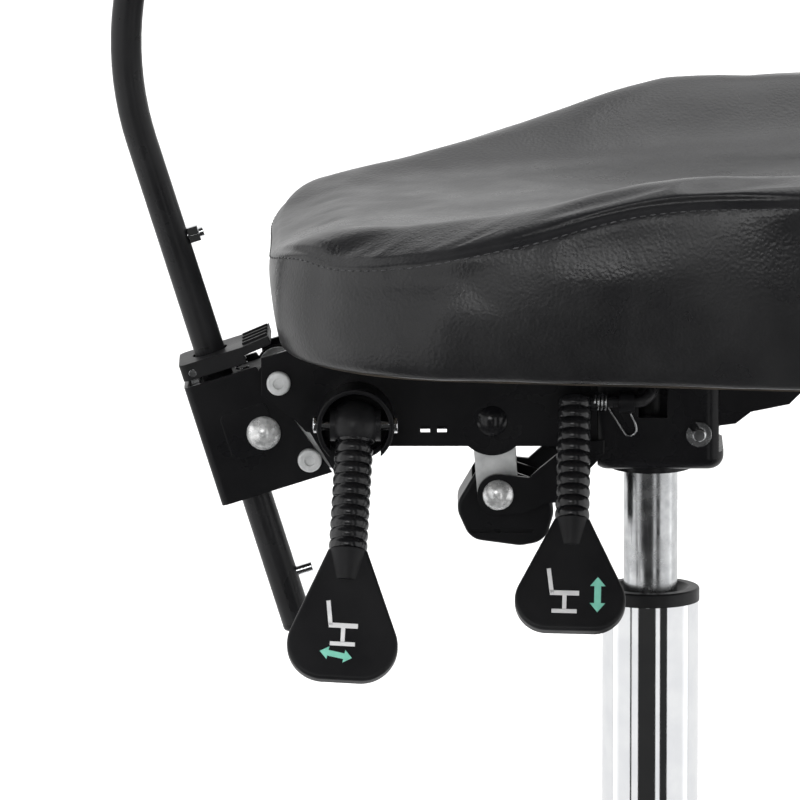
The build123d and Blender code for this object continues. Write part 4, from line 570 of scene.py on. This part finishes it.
# Lever sleeves: soft plastic hose with round ribs, spun round each lever's own line. Glossy black.
RIB_HEIGHT = 1.1 * MM
RIB_STEPS = 10
RIB_FULLNESS = 0.55
SPIN_STEPS = 56
MERGE_DISTANCE = 1e-7


def hanging(lean, side):
    """Direction down a lever that leans out to -Y and a little to -X, from angles in degrees."""
    lean, side = math.radians(lean), math.radians(side)
    return Vector((-math.sin(side), -math.sin(lean) * math.cos(side), -math.cos(lean) * math.cos(side)))


def ribbed_sleeve(name, pivot, down, start, length, outer, bore, ribs):
    """Ribbed hose with rounded crests and open ends, closed round the rod."""
    crest = outer / 2
    valley = crest - RIB_HEIGHT
    outline = [(bore, 0), (valley, 0)]
    for step in range(ribs * RIB_STEPS + 1):
        wave = abs(math.sin(math.pi * step / RIB_STEPS))
        outline.append((valley + RIB_HEIGHT * wave**RIB_FULLNESS, length * step / (ribs * RIB_STEPS)))
    outline += [(valley, length), (bore, length)]
    across = Vector((1, 0, 0)).cross(down).normalized()
    build = bmesh.new()
    spots = [build.verts.new(pivot + down * (start + run) + across * radius) for radius, run in outline]
    edges = [build.edges.new(pair) for pair in zip(spots, spots[1:])]
    bmesh.ops.spin(
        build, geom=spots + edges, cent=pivot, axis=down, angle=2 * math.pi, steps=SPIN_STEPS, use_merge=True
    )
    bmesh.ops.remove_doubles(build, verts=build.verts, dist=MERGE_DISTANCE)
    bmesh.ops.recalc_face_normals(build, faces=build.faces)
    for face in build.faces:
        face.smooth = True
    mesh = bpy.data.meshes.new(name)
    build.to_mesh(mesh)
    build.free()
    mesh.materials.append(materials["sleeve_black"])
    sleeve = link_mesh(name, mesh)
    return sleeve


LIFT_PIVOT = Vector((-39.8, -35, 433.4)) * MM
LIFT_DOWN = hanging(28, 1.5)
lift_hose = ribbed_sleeve(
    "lift_hose", LIFT_PIVOT, LIFT_DOWN,
    start=-2 * MM, length=66 * MM, outer=17.8 * MM, bore=3.02 * MM, ribs=11,
)
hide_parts("lift_sleeve")
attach(lift_hose, "lift_lever")

LOCK_PIVOT = Vector((-153, -41, 422.5)) * MM
LOCK_DOWN = hanging(26, 3.2)
lock_hose = ribbed_sleeve(
    "lock_hose", LOCK_PIVOT, LOCK_DOWN,
    start=4.3 * MM, length=63.4 * MM, outer=20 * MM, bore=4.02 * MM, ribs=11,
)
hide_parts("lock_sleeve")
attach(lock_hose, "lock_lever")


# Paddle signs: thin printed shapes on each paddle's face, a plain stool in white and arrows in mint
PRINT_T = 0.12 * MM
PRINT_GAP = 0.02 * MM
PADDLE_T = 9 * MM
PRINT_FINISH = dict(drift=150, roughness=(0.45, 0.6), patch=200, scale=2500, strength=0.05)
print_white = finish_material("print_white", (0.72, 0.72, 0.73), (0.84, 0.84, 0.84), **PRINT_FINISH)
print_mint = finish_material("print_mint", (0.2, 0.6, 0.46), (0.26, 0.7, 0.55), **PRINT_FINISH)


def bar(x, y, wide, tall, lean=0.0):
    """Corners of a bar in millimetres about its middle."""
    turn = Matrix.Rotation(math.radians(lean), 2)
    corners = ((-wide / 2, -tall / 2), (wide / 2, -tall / 2), (wide / 2, tall / 2), (-wide / 2, tall / 2))
    return [Vector((x, y)) + turn @ Vector(corner) for corner in corners]


def arrow(x, y, length, wide, lean=0.0):
    """Corners of an arrow with a head at each end."""
    turn = Matrix.Rotation(math.radians(lean), 2)
    half, head, stem = length / 2, wide * 0.62, wide * 0.22
    side = [(0, half), (wide / 2, half - head), (stem, half - head)]
    right = side + [(px, -py) for px, py in reversed(side)]
    left = [(-px, py) for px, py in reversed(right)][1:-1]
    return [Vector((x, y)) + turn @ Vector(corner) for corner in right + left]


def printed(name, pivot, down, start, shapes, material, body):
    """Thin raised print on a paddle's outer face, from flat outlines in millimetres."""
    face = down.cross(Vector((1, 0, 0))).normalized()
    right = face.cross(down)
    origin = pivot + down * start + face * (PADDLE_T / 2)
    build = bmesh.new()
    for shape in shapes:
        spots = [build.verts.new(origin + (right * p.x - down * p.y) * MM + face * PRINT_GAP) for p in shape]
        flat = build.faces.new(spots)
        raised = bmesh.ops.extrude_face_region(build, geom=[flat])
        moved = [item for item in raised["geom"] if isinstance(item, bmesh.types.BMVert)]
        bmesh.ops.translate(build, verts=moved, vec=face * PRINT_T)
    bmesh.ops.recalc_face_normals(build, faces=build.faces)
    mesh = bpy.data.meshes.new(name)
    build.to_mesh(mesh)
    build.free()
    mesh.materials.append(material)
    sign = link_mesh(name, mesh)
    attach(sign, body)


def stool_sign(x, y):
    """Outlines of a plain stool: back, seat, post and foot."""
    return [
        bar(x - 7.5, y + 7, 2.2, 13, 8),
        bar(x, y + 0.5, 15, 2.6),
        bar(x, y - 4.6, 2.2, 7.6),
        bar(x, y - 9.2, 13, 2.2),
    ]


LIFT_SIGN_AT = 105 * MM
printed("lift_sign", LIFT_PIVOT, LIFT_DOWN, LIFT_SIGN_AT, stool_sign(-3, 0), print_white, "lift_lever")
printed("lift_arrow", LIFT_PIVOT, LIFT_DOWN, LIFT_SIGN_AT, [arrow(14, 0, 19, 8)], print_mint, "lift_lever")
LOCK_SIGN_AT = 111 * MM
printed("lock_sign", LOCK_PIVOT, LOCK_DOWN, LOCK_SIGN_AT, stool_sign(0, 2), print_white, "lock_lever")
lock_arrow = [arrow(-3, -13, 17, 7, 80)]
printed("lock_arrow", LOCK_PIVOT, LOCK_DOWN, LOCK_SIGN_AT, lock_arrow, print_mint, "lock_lever")
